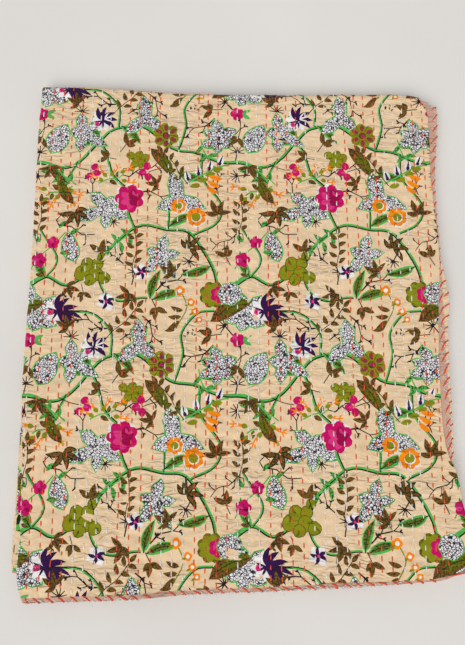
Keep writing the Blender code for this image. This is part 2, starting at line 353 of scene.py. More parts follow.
def crinkled(p, q):
    """How far the crinkled cloth stands above its plain height, at a place in the print."""
    row = math.floor((p - FACE_X) / ROW_PITCH)
    line = FACE_X + (row + 0.5) * ROW_PITCH + row_wander(row, q)
    away = (p - line) / ROW_WIDTH
    channel = math.exp(-away * away)
    height = 0.0
    for number, (across, along, share) in enumerate(CRINKLES):
        spot = Vector((p / MM / across, q / MM / along, 11.0 * number))
        height += share * (RIDGE_HEIGHT * abs(noise.noise(spot)) ** RIDGE_SHAPE - RIDGE_LOWERED)
    lively = smooth(CALM_MIDDLE + CALM_SWING * noise.noise(Vector((p / CALM_X, q / CALM_Y, NOISE_OF_CALM))))
    left = mix(LEFT_IN_CALM, 1.0, lively)
    return CRINKLE * (1 - LOST_IN_CHANNEL * channel) * left * height - ROW_DEPTH * channel


def fold(u, v, out):
    """The place of a point of the flat cloth in the folded quilt, in the frame."""
    part_x, share_x = ACROSS.locate(u)
    part_y, share_y = ALONG.locate(v)
    bundle, layer = run_number(part_y, share_y), run_number(part_x, share_x)

    plain_y = ALONG.plain_place(part_y, share_y)
    under_hem, left, right, hem = side_edges((plain_y + HALF_Y) / (2 * HALF_Y), bundle)
    leftward, bundle_height = ACROSS.folded(part_x, share_x, out, -under_hem, left, -right, -hem)
    x = -leftward

    upper_hem, top, last_fold, lower_hem = end_edges((x + HALF_X) / (2 * HALF_X), layer)
    y, depth = ALONG.folded(
        part_y, share_y, bundle_height / BUNDLE, -upper_hem, top, -last_fold, -lower_hem
    )
    place = Vector((x, y, (STACK - depth) * pressed(x, y)))
    if part_x == FACE_PART_X and part_y == FACE_PART_Y and out > 0.5:
        from_folds = min(u - FACE_X, ACROSS.starts[3] - u, ALONG.starts[1] - v)
        relief = crease(x, y) + crinkled(*print_place(u, v))
        place.z += smooth(from_folds / CRINKLE_END) * relief
    return place - MIDDLE


def print_place(u, v):
    """Where a point of the flat cloth lies in the print, which isn't stretched where the upper face and
    the folds beside it spread or draw in."""
    part_x, _ = ACROSS.locate(u)
    part_y, share_y = ALONG.locate(v)
    if not (1 <= part_x <= 3 and part_y <= 1):
        return u, v
    plain_y = ALONG.plain_place(part_y, share_y)
    left_end, right_end = face_sides(plain_y, run_number(part_y, share_y))
    if part_x == 1:
        x = left_end - (ACROSS.starts[2] - u)
    elif part_x == 3:
        x = right_end + u - ACROSS.starts[3]
    else:
        x = -ACROSS.settled(-(u - FACE_X - HALF_X), -right_end, -left_end)
    hem, top_end = face_ends(x)
    y = ALONG.settled(plain_y, -hem, top_end) if part_y == 0 else top_end + v - ALONG.starts[1]
    return FACE_X + HALF_X + x, HALF_Y + y


def cloth_place(p, q):
    """Where a point of the print lies in the flat cloth: the way back from print_place."""
    x, y = p - FACE_X - HALF_X, q - HALF_Y
    if not -HALF_X - STRIP < x < HALF_X + 2 * STRIP or y > HALF_Y + STRIP:
        return p, q
    if abs(x) < CORE_X and ALONG.core[0] < y < ALONG.core[1]:
        return p, q
    hem, top_end = face_ends(x)
    plain_y, v = unsettled(y, ALONG.core, HALF_Y, -hem, top_end), 0.0
    if y > top_end:
        v = y - top_end
    share = min(v / ALONG.lengths[1], 1.0)
    left_end, right_end = face_sides(min(plain_y, HALF_Y), smooth(share))
    u = FACE_X + HALF_X + unsettled(x, (-CORE_X, CORE_X), HALF_X, left_end, right_end)
    return u, min(plain_y, HALF_Y) + HALF_Y + v


def unsettled(place, core, half, near_end, far_end):
    """The plain place of a point beside the core, from its place once the cloth is drawn in or out. Past
    the far end it goes on at full length, and past the near end too where the core lies in the middle."""
    low, high = core
    if place > far_end:
        return half + place - far_end
    if place > high:
        return high + (place - high) * (half - high) / (far_end - high)
    if place < near_end and core[0] == -core[1]:
        return -half + place - near_end
    if place < low:
        return low - (place - low) / (near_end - low) * (low + half)
    return place


def face_sides(plain_y, bundle):
    """Where the upper face turns into the folds at its left and its right."""
    _, left, right, _ = side_edges((plain_y + HALF_Y) / (2 * HALF_Y), bundle)
    return ACROSS.far_reach - left, right - ACROSS.near_reach


def face_ends(x):
    """How far from the middle the upper face ends at its hem, and where it turns into its far fold."""
    hem, top, _, _ = end_edges((x + HALF_X) / (2 * HALF_X), 1)
    return hem, top - ALONG.far_reach


# ---------------------------------------------------------------- the print

# The print is a repeat of ordinary flowers and leaves. Sizes in it are in millimetres on the flat cloth.
TILE = (285.0, 333.0)


def srgb(*parts):
    """A linear colour from a screen colour of 0 to 255."""
    return tuple(((part / 255 + 0.055) / 1.055) ** 2.4 if part > 10 else part / 3295 for part in parts)


# columns: name, colour, how much dark scribble covers it, how much dark stipple covers it
INKS = {
    "ground": (srgb(236, 206, 167), 0, 0),
    "margin": (srgb(206, 166, 146), 0, 0),
    "paper": (srgb(240, 236, 232), 0, 0),
    "scribbled": (srgb(238, 236, 236), 1, 0),
    "green": (srgb(86, 182, 82), 0, 0),
    "leaf green": (srgb(82, 172, 76), 0, 1),
    "black": (srgb(40, 28, 30), 0, 0),
    "shade": (srgb(24, 40, 24), 0, 0),
    "dark leaf": (srgb(100, 118, 38), 0, 1),
    "brown": (srgb(120, 85, 33), 0, 1),
    "dark brown": (srgb(66, 46, 26), 0, 0),
    "olive": (srgb(138, 140, 20), 0, 0),
    "moss": (srgb(106, 110, 12), 0, 0.8),
    "maroon": (srgb(140, 58, 58), 0, 0),
    "magenta": (srgb(200, 12, 98), 0, 0),
    "rose": (srgb(220, 58, 128), 0, 0),
    "wine": (srgb(158, 2, 70), 0, 0),
    "orange": (srgb(248, 140, 14), 0, 0),
    "deep orange": (srgb(222, 96, 20), 0, 0),
    "purple": (srgb(52, 16, 72), 0, 0),
}

# A leaf is widest a little before its middle, and a round outline has some points at least.
LEAF_BELLY = 0.8
BLOB_POINTS = 10
# Where an outline that is moved outward turns sharply, its corners are cut off. Both are the length of the
# sum of the two unit normals at a corner, which is 2 where the outline is straight.
SHARP_CORNER = 1.2
SHARPEST_CORNER = 0.9
# Lobes more than an angle apart, in degrees, are cut in deeper between, by a share.
WIDE_APART = 110
DEEPER = 0.75


def turned(points, turn=0.0, at=(0.0, 0.0), size=1.0):
    """Points turned by an angle in degrees, scaled, and carried to a place."""
    cos, sin = size * math.cos(math.radians(turn)), size * math.sin(math.radians(turn))
    return [(at[0] + cos * x - sin * y, at[1] + sin * x + cos * y) for x, y in points]


def reached(turn, reach, start=(0.0, 0.0)):
    """The point at a distance from a start, in a direction in degrees."""
    return turned([(reach, 0)], turn, start)[0]


def placed(shapes, turn=0.0, at=(0.0, 0.0), size=1.0):
    return [(ink, turned(points, turn, at, size)) for ink, points in shapes]


def fan(ink, outline, turns, at=(0, 0)):
    """An outline in one ink, at one place, once for each turn."""
    return [(ink, turned(outline, turn, at)) for turn in turns]


def strewn(ink, outline, *spots):
    """An outline in one ink, once for each spot of (turn, x, y)."""
    return [(ink, turned(outline, turn, (x, y))) for turn, x, y in spots]


def leaf(length, width, bow=0.0, blunt=0.8, steps=6):
    """The outline of a leaf or petal that grows from the origin along +X."""
    upper, lower = [], []
    for step in range(steps + 1):
        share = step / steps
        half = width / 2 * max(math.sin(math.pi * share ** LEAF_BELLY), 0.0) ** blunt
        middle = bow * 4 * share * (1 - share)
        upper.append((length * share, middle + half))
        lower.append((length * share, middle - half))
    return upper + lower[-2:0:-1]


def blob(radius, lobes=0, depth=0.2, points_each=4):
    """A round outline with scalloped lobes."""
    count = max(lobes * points_each, BLOB_POINTS)
    outline = []
    for number in range(count):
        angle = 2 * math.pi * number / count
        reach = radius * (1 - depth * (1 - abs(math.sin(angle * lobes / 2)))) if lobes else radius
        outline.append((reach * math.cos(angle), reach * math.sin(angle)))
    return outline


def spline(p, q, r, s, t):
    """The way from q to r at a share t, smooth on from p and on to s."""
    return 0.5 * (
        2 * q + (r - p) * t + (2 * p - 5 * q + 4 * r - s) * t * t + (3 * q - p - 3 * r + s) * t ** 3
    )


def curve(*points, step=6.0):
    """A smooth line through points, as (x, y) about every step."""
    found = []
    ends = [points[0], *points, points[-1]]
    for a, b, c, d in zip(ends, ends[1:], ends[2:], ends[3:]):
        pieces = max(round(math.dist(b, c) / step), 1)
        for piece in range(pieces):
            found.append(tuple(spline(*four, piece / pieces) for four in zip(a, b, c, d)))
    return [*found, points[-1]]


def stroke(points, width, end_width=None, shift=0.0):
    """The outline of a line of ink through points, shifted to its left."""
    end_width = width if end_width is None else end_width
    left, right = [], []
    for number, (x, y) in enumerate(points):
        ax, ay = points[max(number - 1, 0)]
        bx, by = points[min(number + 1, len(points) - 1)]
        long = math.hypot(bx - ax, by - ay) or 1.0
        nx, ny = -(by - ay) / long, (bx - ax) / long
        half = mix(width, end_width, number / (len(points) - 1)) / 2
        left.append((x + nx * (shift + half), y + ny * (shift + half)))
        right.append((x + nx * (shift - half), y + ny * (shift - half)))
    return left + right[::-1]


def twice_area(points):
    """Twice the area of an outline, below zero where it runs clockwise."""
    return sum(ax * by - bx * ay for (ax, ay), (bx, by) in zip(points, points[1:] + points[:1]))


def grown(points, edge):
    """An outline moved outward by a distance."""
    side = 1 if twice_area(points) > 0 else -1
    found = []
    for (ax, ay), (x, y), (bx, by) in zip(points[-1:] + points[:-1], points, points[1:] + points[:1]):
        normals = []
        for dx, dy in ((x - ax, y - ay), (bx - x, by - y)):
            long = math.hypot(dx, dy) or 1.0
            normals.append((side * dy / long, -side * dx / long))
        nx, ny = normals[0][0] + normals[1][0], normals[0][1] + normals[1][1]
        long = max(math.hypot(nx, ny), SHARPEST_CORNER)
        if long > SHARP_CORNER:
            found.append((x + edge * nx * 2 / long ** 2, y + edge * ny * 2 / long ** 2))
        else:
            found.append((x + edge * nx / long, y + edge * ny / long))
    return found


def pointed(tips, notch, spread=0.3):
    """The outline of a leaf with pointed lobes. tips are (angle, reach), and notch is how far from the
    middle the cuts between them end."""
    outline = []
    for (angle, reach), (next_angle, next_reach) in zip(tips, tips[1:] + ((tips[0][0] + 360, tips[0][1]),)):
        between = next_angle - angle
        low = notch * (DEEPER if between > WIDE_APART else 1.0)
        places = (
            (angle, reach),
            (angle + spread * between, mix(low, reach, 0.5)),
            ((angle + next_angle) / 2, low),
            (next_angle - spread * between, mix(low, next_reach, 0.5)),
        )
        outline += [(r * math.cos(math.radians(a)), r * math.sin(math.radians(a))) for a, r in places]
    return outline


def edged(outline, edge=1.3):
    """A scribbled white leaf with a green edge."""
    return [("green", grown(outline, edge)), ("scribbled", outline)]


def ivy():
    return edged(pointed(((0, 34), (62, 24), (128, 27), (205, 16), (292, 25)), 9.5, 0.27))


def maple():
    return edged(pointed(((8, 25), (56, 21), (104, 24), (160, 20), (214, 17), (290, 22)), 12, 0.3))


def lily():
    """Three long lobes."""
    return edged(pointed(((20, 33), (118, 25), (256, 30)), 9, 0.2))


def heart():
    return edged(leaf(38, 25, 1, 0.7))


def teardrop():
    return edged(leaf(33, 17, 2, 0.8))


def peony():
    return [
        ("paper", turned(blob(16.4, 7, 0.2), 10, (-0.8, 0.6))),
        ("magenta", blob(16.2, 7, 0.22)),
        *fan("rose", leaf(13, 8, 1, 0.5), (150, 205, 255), (2.5, 0)),
        *fan("wine", leaf(11, 8, -1, 0.5), (-45, 15, 75), (1, 0)),
        *fan("rose", leaf(6, 3), (20, 110), (5, 3)),
        ("black", blob(0.9)),
    ]


def small_bloom():
    return [
        ("magenta", blob(8.6, 5, 0.25)),
        ("rose", turned(leaf(8, 5, 1), 130)),
        ("wine", turned(leaf(7, 4), -70)),
        *strewn("black", blob(0.7), (0, 2, 2), (0, -3, 1), (0, 1, -3)),
    ]


def small_peony():
    return fan("green", leaf(13, 5), (25, -30), (5, 0)) + small_bloom()


def buds():
    """Two magenta flowers on a stalk with green leaves."""
    spots = ((40, -16, -18), (105, -4, 11), (20, 20, 20), (-25, 12, -8), (15, 30, 8))
    return [
        ("green", stroke(curve((-24, -15), (-8, -3), (10, 4), (26, 13)), 1.4)),
        *strewn("leaf green", leaf(13, 5.2, 1), *spots),
        *placed(small_bloom(), 20, (-12, -8), 1.05),
        *placed(small_bloom(), -40, (9, 6), 0.9),
        ("brown", turned(leaf(10, 4), -40, (-20, -22))),
    ]


def hearts():
    """Three round magenta petals on a thin stalk."""
    return [
        ("black", stroke(curve((0, 0), (12, 4), (24, 5)), 0.9)),
        *strewn("magenta", leaf(9.5, 8, 0, 0.5), (100, -1, 2), (190, -2, 0), (265, 0, -1)),
        ("rose", turned(leaf(6, 3), 195, (-2, 0))),
    ]


def olive_flower():
    return [
        ("olive", blob(15, 6, 0.2)),
        *strewn("maroon", leaf(8.5, 5, 0, 0.5), *((turn, *reached(turn, 5)) for turn in range(20, 380, 60))),
        *(("moss", stroke([reached(turn, 5), reached(turn, 14)], 0.8)) for turn in range(-10, 350, 60)),
        ("brown", blob(4.2)),
        ("magenta", blob(1.7)),
    ]


def cluster():
    """A flower of many olive lobes."""
    shapes = []
    lobes = ((-9, 2, 9), (0, 9, 8.5), (10, 6, 7), (17, 12, 5.5), (5, -4, 9), (12, -11, 7.5), (-3, -8, 7))
    for x, y, reach in lobes:
        shapes.append(("moss", turned(blob(reach, 3, 0.12), 30, (x, y))))
        shapes.append(("olive", turned(blob(reach - 1.0, 3, 0.12), 30, (x, y))))
    veins = ((60, -9, 2), (100, 0, 8), (-20, 6, -4), (-60, 12, -10), (35, 13, 8), (220, -3, -7))
    return shapes + strewn("moss", leaf(8, 2.2, 1), *veins)


def half_flower():
    """A flower seen half from the side: olive, magenta and a scribbled heart."""
    return [
        ("moss", turned(blob(15, 8, 0.15), 0, (-2, 0))),
        ("olive", turned(blob(13.5, 8, 0.2), 12, (-2, 0))),
        ("magenta", turned(blob(9.5, 6, 0.2), 0, (4, 0))),
        ("rose", turned(leaf(9, 4), 250, (3, 6))),
        *edged(turned(blob(12.5, 7, 0.1, 3), 0, (16, 1)), 0.8),
    ]


def ring(reach):
    """An orange flower with an open middle."""
    petals = ((turn, *reached(turn, reach * 0.5)) for turn in (10, 130, 250))
    return [
        ("paper", turned(blob(reach, 5, 0.1), 15, (0.5, -1.2))),
        ("orange", blob(reach, 7, 0.16)),
        *strewn("deep orange", leaf(reach * 0.6, 1.6), *petals),
        ("paper", turned(blob(reach * 0.52), 0, (0.4, -0.6))),
        ("olive", blob(reach * 0.46)),
    ]


def rings():
    return placed(ring(11.5), 0, (7, -6)) + placed(ring(9), 40, (-13, 7))


def ring_spray():
    """Small open orange flowers on a stalk."""
    shapes = [("olive", stroke(curve((-16, -20), (-6, -8), (2, 4), (-2, 22)), 1.3))]
    for x, y, reach in ((-3, 23, 6), (7, 8, 5), (10, -3, 4.6), (13, -13, 4)):
        shapes += [
            ("orange", turned(blob(reach, 4, 0.2), 20 * x, (x, y))),
            ("paper", turned(blob(reach * 0.4), 0, (x, y))),
            ("olive", turned(leaf(reach * 1.2, reach * 0.6), 200, (x - 2, y - 1))),
        ]
    spots = ((170, -6, -6), (205, -9, -10), (150, -3, 0), (190, -12, -16))
    return shapes + strewn("brown", leaf(15, 5.5, 1), *spots)


def trumpet():
    """A thin orange flower with parted tips, on an olive base."""
    return [
        ("orange", turned(leaf(14, 4, 0, 0.6), 0, (2, 0))),
        *fan("orange", leaf(8, 2.2), (-42, 5, 46), (12, 0)),
        ("paper", turned(leaf(6, 1.2), 12, (8, 0))),
        ("olive", turned(leaf(8, 6, 0, 0.6), 180, (5, 0))),
    ]


def trumpets():
    shapes = [("green", stroke(curve((24, 6), (10, 2), (-2, 3), (-8, 0)), 1.6))]
    for turn, at in ((160, (-8, 8)), (200, (-8, -4)), (225, (6, -3)), (-60, (14, -3)), (-35, (20, 2))):
        shapes += placed(trumpet(), turn, at, 0.92)
    return shapes + [("brown", turned(leaf(12, 6), 140, (10, 4))), ("moss", turned(leaf(9, 5), 250, (0, 2)))]


def orchid():
    """A purple and white flower with dark swept petals."""
    return [
        *fan("paper", leaf(15, 8, 1, 0.6), (150, 195, 235, 275, 110)),
        *fan("purple", leaf(19, 6, 2), (-55, -20, 15, 55, 88)),
        *fan("paper", leaf(11, 1.8, 1), (-38, 0, 36), (3, 0)),
        *fan("purple", leaf(11, 2.6, 1), (170, 215, 255)),
        ("rose", turned(blob(3.2, 4, 0.2), 0, (-7, -3))),
        ("magenta", turned(blob(1.4), 0, (-7, -3))),
    ]


def dark_orchid():
    shapes = orchid()
    for turn, reach in ((-5, 27), (-32, 24), (26, 22), (-62, 20)):
        shapes.append(("purple", turned(leaf(reach, 5.5, 3), turn, (2, -2))))
    return shapes + fan("black", leaf(24, 2, 2), (-18, 10), (4, -2))


def pansy():
    return [
        *fan("paper", leaf(11, 8, 0, 0.6), (60, 130, 200, 300)),
        *fan("purple", leaf(9.5, 4, 1), (20, 95, 165, 245, 330)),
        ("rose", blob(1.6)),
    ]


def spike():
    """A spray of purple and white bells over olive buds."""
    shapes = [("green", stroke(curve((-26, -12), (-8, -2), (14, 10), (26, 12)), 1.8))]
    for number, turn in enumerate((105, 95, 80, 70)):
        at = (-22 + 12 * number, -8 + 6.5 * number)
        shapes.append(("paper", turned(leaf(13, 8, 0, 0.6), turn, at)))
        for side in (-9, 0, 9):
            shapes.append(("purple", turned(leaf(14 - abs(side), 2.4), turn + 2.2 * side, at)))
    olives = ((190, -8 + 9 * number, -13 + 7 * number) for number in range(4))
    oranges = ((165 - 12 * number, 18 - 3 * number, -6 - 9 * number) for number in range(3))
    return shapes + strewn("olive", leaf(13, 6, 0, 0.6), *olives) + strewn("orange", leaf(17, 6, 1), *oranges)


def sprig():
    """Brown leaflets in pairs along a stalk."""
    shapes = [("black", stroke(curve((-26, -12), (-10, -3), (6, 2), (24, 14)), 1.0))]
    for number in range(4):
        x, y = -12 + 10 * number, -5 + 5.6 * number
        shapes.append(("brown", turned(leaf(12.5, 5.6, 1), 95 - 6 * number, (x, y))))
        shapes.append(("brown", turned(leaf(11.5, 5.6, 1), -22 - 6 * number, (x + 3, y))))
    return shapes + [("brown", turned(leaf(12, 5.6), 28, (24, 14)))]


def brown_leaves():
    shapes = []
    for turn, reach, wide in ((95, 19, 7), (48, 17, 6), (150, 15, 6), (-10, 15, 5.5)):
        shapes.append(("brown", turned(leaf(reach, wide, 1), turn)))
        shapes.append(("dark brown", turned(leaf(reach * 0.7, 1.3, 1), turn)))
    return shapes


def star_leaves():
    """Long leaves spread from one point, green at their backs."""
    shapes = []
    for turn, reach in ((165, 21), (215, 22), (265, 21), (310, 22), (350, 17)):
        shapes.append(("shade", turned(leaf(reach, 7, 2), turn)))
        shapes.append(("brown", turned(leaf(reach - 2, 4.6, 2), turn)))
    return shapes


def pair():
    shapes = [("black", stroke(((0, -16), (1, -2)), 1.0))]
    for turn, reach in ((125, 15), (55, 15), (20, 11)):
        shapes.append(("brown", turned(leaf(reach, 6.5), turn, (1, -4))))
    return shapes


def broad_leaf():
    """A large leaf, half brown and half moss green."""
    return [
        ("brown", leaf(50, 17, 4, 0.75)),
        ("moss", turned(leaf(34, 13, 3, 0.8), 2, (15, 2))),
        ("dark brown", stroke(curve((0, 0), (24, 5), (46, 1)), 0.9)),
    ]


def long_leaf():
    """A long green leaf with a dark, stippled middle."""
    return [
        ("green", leaf(42, 13, 3, 0.85)),
        ("dark leaf", turned(leaf(38, 8.6, 3, 0.9), 0, (2.5, 0.6))),
        ("shade", stroke(curve((0, 0), (20, 3.6), (38, 1)), 1.3, 0.6)),
    ]


def long_pair():
    return placed(long_leaf(), 96) + placed(long_leaf(), 38, (3, 0), 1.05)


def small_leaves():
    """Short green leaves along a stalk."""
    spots = ((30, 1, -16), (150, 1, -14), (25, 0, -2), (160, 0, 0), (60, 0, 12), (120, 0, 14))
    return [
        ("green", stroke(curve((0, -24), (2, -8), (-1, 8), (1, 18)), 1.6)),
        *strewn("leaf green", leaf(15, 5.5, 1), *spots),
    ]


def twig(turns=(35, -40, 48, -30, 40), reach=8.0, tips=3):
    """A thin black twig with side shoots that end in short strokes."""
    stem = curve((-20, -6), (-6, 0), (8, -2), (22, 6))
    shapes = [("black", stroke(stem, 1.6, 1.0))]
    for number, turn in enumerate(turns):
        start = stem[min(1 + number * (len(stem) - 2) // len(turns), len(stem) - 1)]
        end = reached(turn, reach, start)
        shapes.append(("black", stroke((start, end), 1.4, 1.0)))
        for tip in range(tips):
            at = reached(turn, reach * 0.72, start) if tip else end
            shapes.append(("black", turned(leaf(4.8, 1.9, 0, 0.6, 3), turn + (tip - 1) * 42, at)))
    return shapes


def curled_twig():
    curl = curve((-20, -6), (-27, -2), (-25, 6), (-19, 5))
    return twig((60, -55, 70, -60), 10, 2) + [("black", stroke(curl, 1.5, 1.0))]


def tuft():
    """A small spray of black hairs."""
    hairs = [("black", stroke(((0, 0), reached(turn, 9)), 1.5, 0.9)) for turn in range(-50, 150, 33)]
    return [("black", stroke(((0, 0), (-12, -10)), 1.4)), *hairs]


def dashes():
    """Short black dashes, like fallen seeds."""
    turns = [2.4 * number for number in range(7)]
    spots = (
        (37 * number, 7 * math.cos(turn), 0.9 * number * math.sin(turn)) for number, turn in enumerate(turns)
    )
    return strewn("black", leaf(4.5, 1.7, 0, 0.6, 3), *spots)


# How far the vines wave, in millimetres, how many waves go into a repeat each way, and where the waves
# across start, in radians
VINE_WAVE = 3.6
VINE_WAVES = 4
VINE_START = 0.8
# A vine is a green line on a dark one.
# columns: ink, its width and how far to the left it lies, as shares of the vine's width
VINE_LINES = (("shade", 0.9, -0.42), ("green", 0.8, 0.12))

# The vines of the repeat
# columns: width, then the points that the line goes through
VINES = (
    (3.4, (-8, 58), (26, 76), (60, 70), (92, 88), (118, 124), (150, 146), (196, 150), (234, 134), (256, 92),
     (277, 58), (311, 76)),
    (3.4, (-12, 250), (30, 240), (62, 250), (92, 276), (124, 304), (166, 296), (204, 268), (238, 256),
     (273, 250), (315, 240)),
    (3.0, (150, 146), (134, 176), (138, 206), (112, 236), (92, 276)),
    (2.6, (92, 88), (112, 58), (142, 44), (172, 46)),
    (2.8, (234, 134), (262, 158), (266, 190), (246, 222), (238, 256)),
    (2.6, (124, 304), (118, 333), (96, 352), (60, 364)),
    (2.6, (204, 268), (222, 300), (214, 333), (236, 356), (262, 366)),
    (2.4, (26, 76), (38, 108), (18, 142)),
    (2.4, (196, 150), (192, 188), (206, 214)),
    (2.4, (62, 250), (52, 214), (60, 184)),
)

# The flowers and leaves of the repeat, the undermost first: those that lie under the vines, and the others
# columns: what it is, x and y of its middle, turn in degrees, size
UNDER_VINES = (
    (twig, 200, 72, 20, 1.2), (curled_twig, 66, 146, -30, 1.2), (twig, 240, 300, 200, 1.2),
    (tuft, 150, 84, 40, 1.2), (twig, 96, 10, 150, 1.2), (curled_twig, 160, 238, 15, 1.2),
    (tuft, 276, 8, 90, 1.3), (twig, 6, 292, 60, 1.1), (dashes, 14, 176, 10, 1.2), (tuft, 226, 100, 200, 1.2),
    (twig, 176, 4, -70, 1.1), (twig, 86, 204, 100, 1.1), (curled_twig, 276, 128, 200, 1.0),
    (dashes, 60, 52, 60, 1.2), (tuft, 66, 326, 30, 1.2), (twig, 176, 200, -20, 1.1),
    (tuft, 118, 158, 260, 1.1), (dashes, 230, 330, 20, 1.1), (twig, 150, 330, 10, 0.9),
    (tuft, 8, 226, 140, 1.2), (twig, 122, 112, 110, 1.0), (tuft, 8, 262, 40, 1.2), (twig, 264, 216, 80, 0.9),
)
LAYOUT = (
    (long_pair, 172, 46, -25, 1.05), (long_pair, 92, 276, 62, 1.05), (long_leaf, 196, 150, 24, 1.05),
    (long_leaf, 26, 76, 110, 1.0), (small_leaves, 128, 128, 120, 1.2), (long_leaf, 256, 92, 195, 1.05),
    (small_leaves, 250, 256, 200, 1.15), (long_leaf, 124, 304, -45, 1.0), (long_leaf, 246, 222, 165, 1.0),
    (small_leaves, 40, 226, 60, 1.1), (long_leaf, 52, 214, 130, 0.9), (ivy, 108, 178, 205, 1.3),
    (maple, 18, 24, 40, 1.35), (lily, 210, 190, 85, 1.35), (ivy, 184, 108, 305, 1.2),
    (teardrop, 66, 100, 105, 1.35), (heart, 24, 262, 62, 1.25), (lily, 160, 316, 200, 1.2),
    (maple, 268, 284, 100, 1.2), (broad_leaf, 256, 14, 25, 1.25), (ivy, 70, 292, 330, 1.2),
    (cluster, 152, 252, 200, 0.85), (peony, 140, 192, 0, 1.35), (dark_orchid, 44, 30, -10, 1.3),
    (rings, 226, 172, 0, 1.25), (cluster, 88, 84, 20, 1.3), (olive_flower, 190, 288, 10, 1.3),
    (half_flower, 262, 52, 0, 1.3), (orchid, 96, 312, 20, 1.2), (buds, 26, 116, 20, 1.25),
    (ring_spray, 222, 30, 10, 1.25), (trumpets, 30, 198, 10, 1.25), (spike, 250, 228, 0, 1.2),
    (pansy, 112, 42, 0, 1.25), (pansy, 160, 84, 30, 1.15), (hearts, 166, 232, 0, 1.35),
    (hearts, 84, 234, 150, 1.3), (small_peony, 8, 322, 0, 1.2), (sprig, 134, 10, 20, 1.15),
    (sprig, 14, 156, 60, 1.1), (sprig, 206, 238, 100, 1.15), (brown_leaves, 144, 54, 150, 1.25),
    (star_leaves, 62, 172, 20, 1.15), (brown_leaves, 266, 168, 20, 1.3), (pair, 98, 118, 20, 1.3),
    (pair, 134, 280, -30, 1.25), (star_leaves, 226, 118, 140, 1.1), (broad_leaf, 168, 268, -55, 1.05),
    (brown_leaves, 24, 240, 200, 1.15), (pair, 252, 326, 100, 1.25), (brown_leaves, 204, 84, 60, 1.15),
    (trumpets, 120, 226, 190, 1.1), (brown_leaves, 56, 62, 250, 1.05), (pair, 184, 30, 210, 1.2),
    (brown_leaves, 62, 340, 60, 1.1), (pair, 274, 110, 30, 1.2), (pair, 10, 280, 170, 1.15),
    (broad_leaf, 60, 184, 118, 0.9), (sprig, 150, 108, 60, 1.1), (brown_leaves, 180, 214, 80, 1.0),
    (pair, 102, 254, 80, 1.1), (pair, 82, 52, 200, 1.0),
)


def wavy(points):
    """A line pushed to and fro, as if drawn by hand, alike in every repeat."""
    return [
        (
            x + VINE_WAVE * math.sin(2 * math.pi * VINE_WAVES * y / TILE[1] + VINE_START),
            y + VINE_WAVE * math.sin(2 * math.pi * VINE_WAVES * x / TILE[0]),
        )
        for x, y in points
    ]


def vine_shapes():
    shapes = []
    for width, *points in VINES:
        line = wavy(curve(*points))
        shapes += [(ink, stroke(line, width * wide, shift=width * left)) for ink, wide, left in VINE_LINES]
    return shapes


def tile_shapes():
    """Every shape of one repeat, as (ink, outline), the undermost first."""
    under, over = (
        [shape for make, x, y, turn, size in rows for shape in placed(make(), turn, (x, y), size)]
        for rows in (UNDER_VINES, LAYOUT)
    )
    return under + vine_shapes() + over


# ---------------------------------------------------------------- the cloth's mesh

# How far apart the points of the outer face lie: on the upper face across and along, on the underside, and
# along the cuts in the folds beside the upper face
FINE_X = ROW_PITCH / 3
FINE_Y = 3.9 * MM
PLAIN_STEP = 14 * MM
EDGE_STEP = 7 * MM
# How far the margins reach in from the side hems and from the end hems
HEM_X = 9 * MM
HEM_Y = 4.5 * MM
# How far the warp of the print is followed past the upper face, and how wide a strip along the side hems
# still has some print
STRIP = 30 * MM
# Away from the upper face only larger shapes are drawn, from an area in square millimetres.
COARSE_AREA = 60.0
# How far off a straight line a point of the print's outlines may lie and be left out, in millimetres, on
# the upper face and away from it
FINE_LINE = 0.16
COARSE_LINE = 0.4
# How far outside the repeat outlines are still cut, in millimetres
REACH = 10.0
# How far from the edges of the flat cloth the print's outlines end
INSET = 0.1 * MM
# Points closer together than this are one, in the print in millimetres and in the cloth in metres.
ONE_PRINT_POINT = 1e-4
ONE_CLOTH_POINT = 1e-6
POINT_DIGITS = 7
# A line that goes this little way across or along counts as straight along or across.
STRAIGHT = 1e-9
# Faces that meet at more than this angle, in degrees, have a sharp edge between them.
SHARP_EDGE = 60


def cut_lines(book, step, hem):
    """Where the flat cloth is cut, with a line along each of its hems."""
    return sorted([*book.cuts(step), hem, book.starts[7] - hem])


def detailed(u, v):
    """True where the whole print is drawn: the upper face and the folds beside it."""
    return OUTSIDE_X[0] < u < OUTSIDE_X[1] and v < ALONG.starts[2]


def seen(u, v):
    """True where some of the print is drawn: the outside of the folded quilt, its folds and its hems."""
    part_x = ACROSS.locate(u)[0]
    outside = 1 <= part_x <= 3 and v < OUTSIDE_END
    return outside or part_x in (1, 3) or u < STRIP or u > FLAT_X - STRIP


def large(shapes):
    return [shape for shape in shapes if abs(twice_area(shape[1])) / 2 > COARSE_AREA]


def shifts(low, high, reach=0.0):
    """The shifts by whole repeats that bring an outline, from its least to its greatest corner, into the
    repeat or near it."""
    return [
        (x, y)
        for x in (-TILE[0], 0.0, TILE[0])
        for y in (-TILE[1], 0.0, TILE[1])
        if high[0] + x >= -reach and low[0] + x <= TILE[0] + reach
        and high[1] + y >= -reach and low[1] + y <= TILE[1] + reach
    ]


def cut_repeat(shapes):
    """The repeat cut along every outline in it, as (places, triangles)."""
    points, edges = [], []
    for _, outline in shapes:
        corners = np.array(outline)
        for shift_x, shift_y in shifts(corners.min(axis=0), corners.max(axis=0), REACH):
            first, count = len(points), len(outline)
            points += [Vector((x + shift_x, y + shift_y)) for x, y in outline]
            edges += [(first + number, first + (number + 1) % count) for number in range(count)]
    flat, _, triangles, *_ = delaunay_2d_cdt(points, edges, [], 0, ONE_PRINT_POINT, False)
    return np.array([tuple(point) for point in flat]), triangles


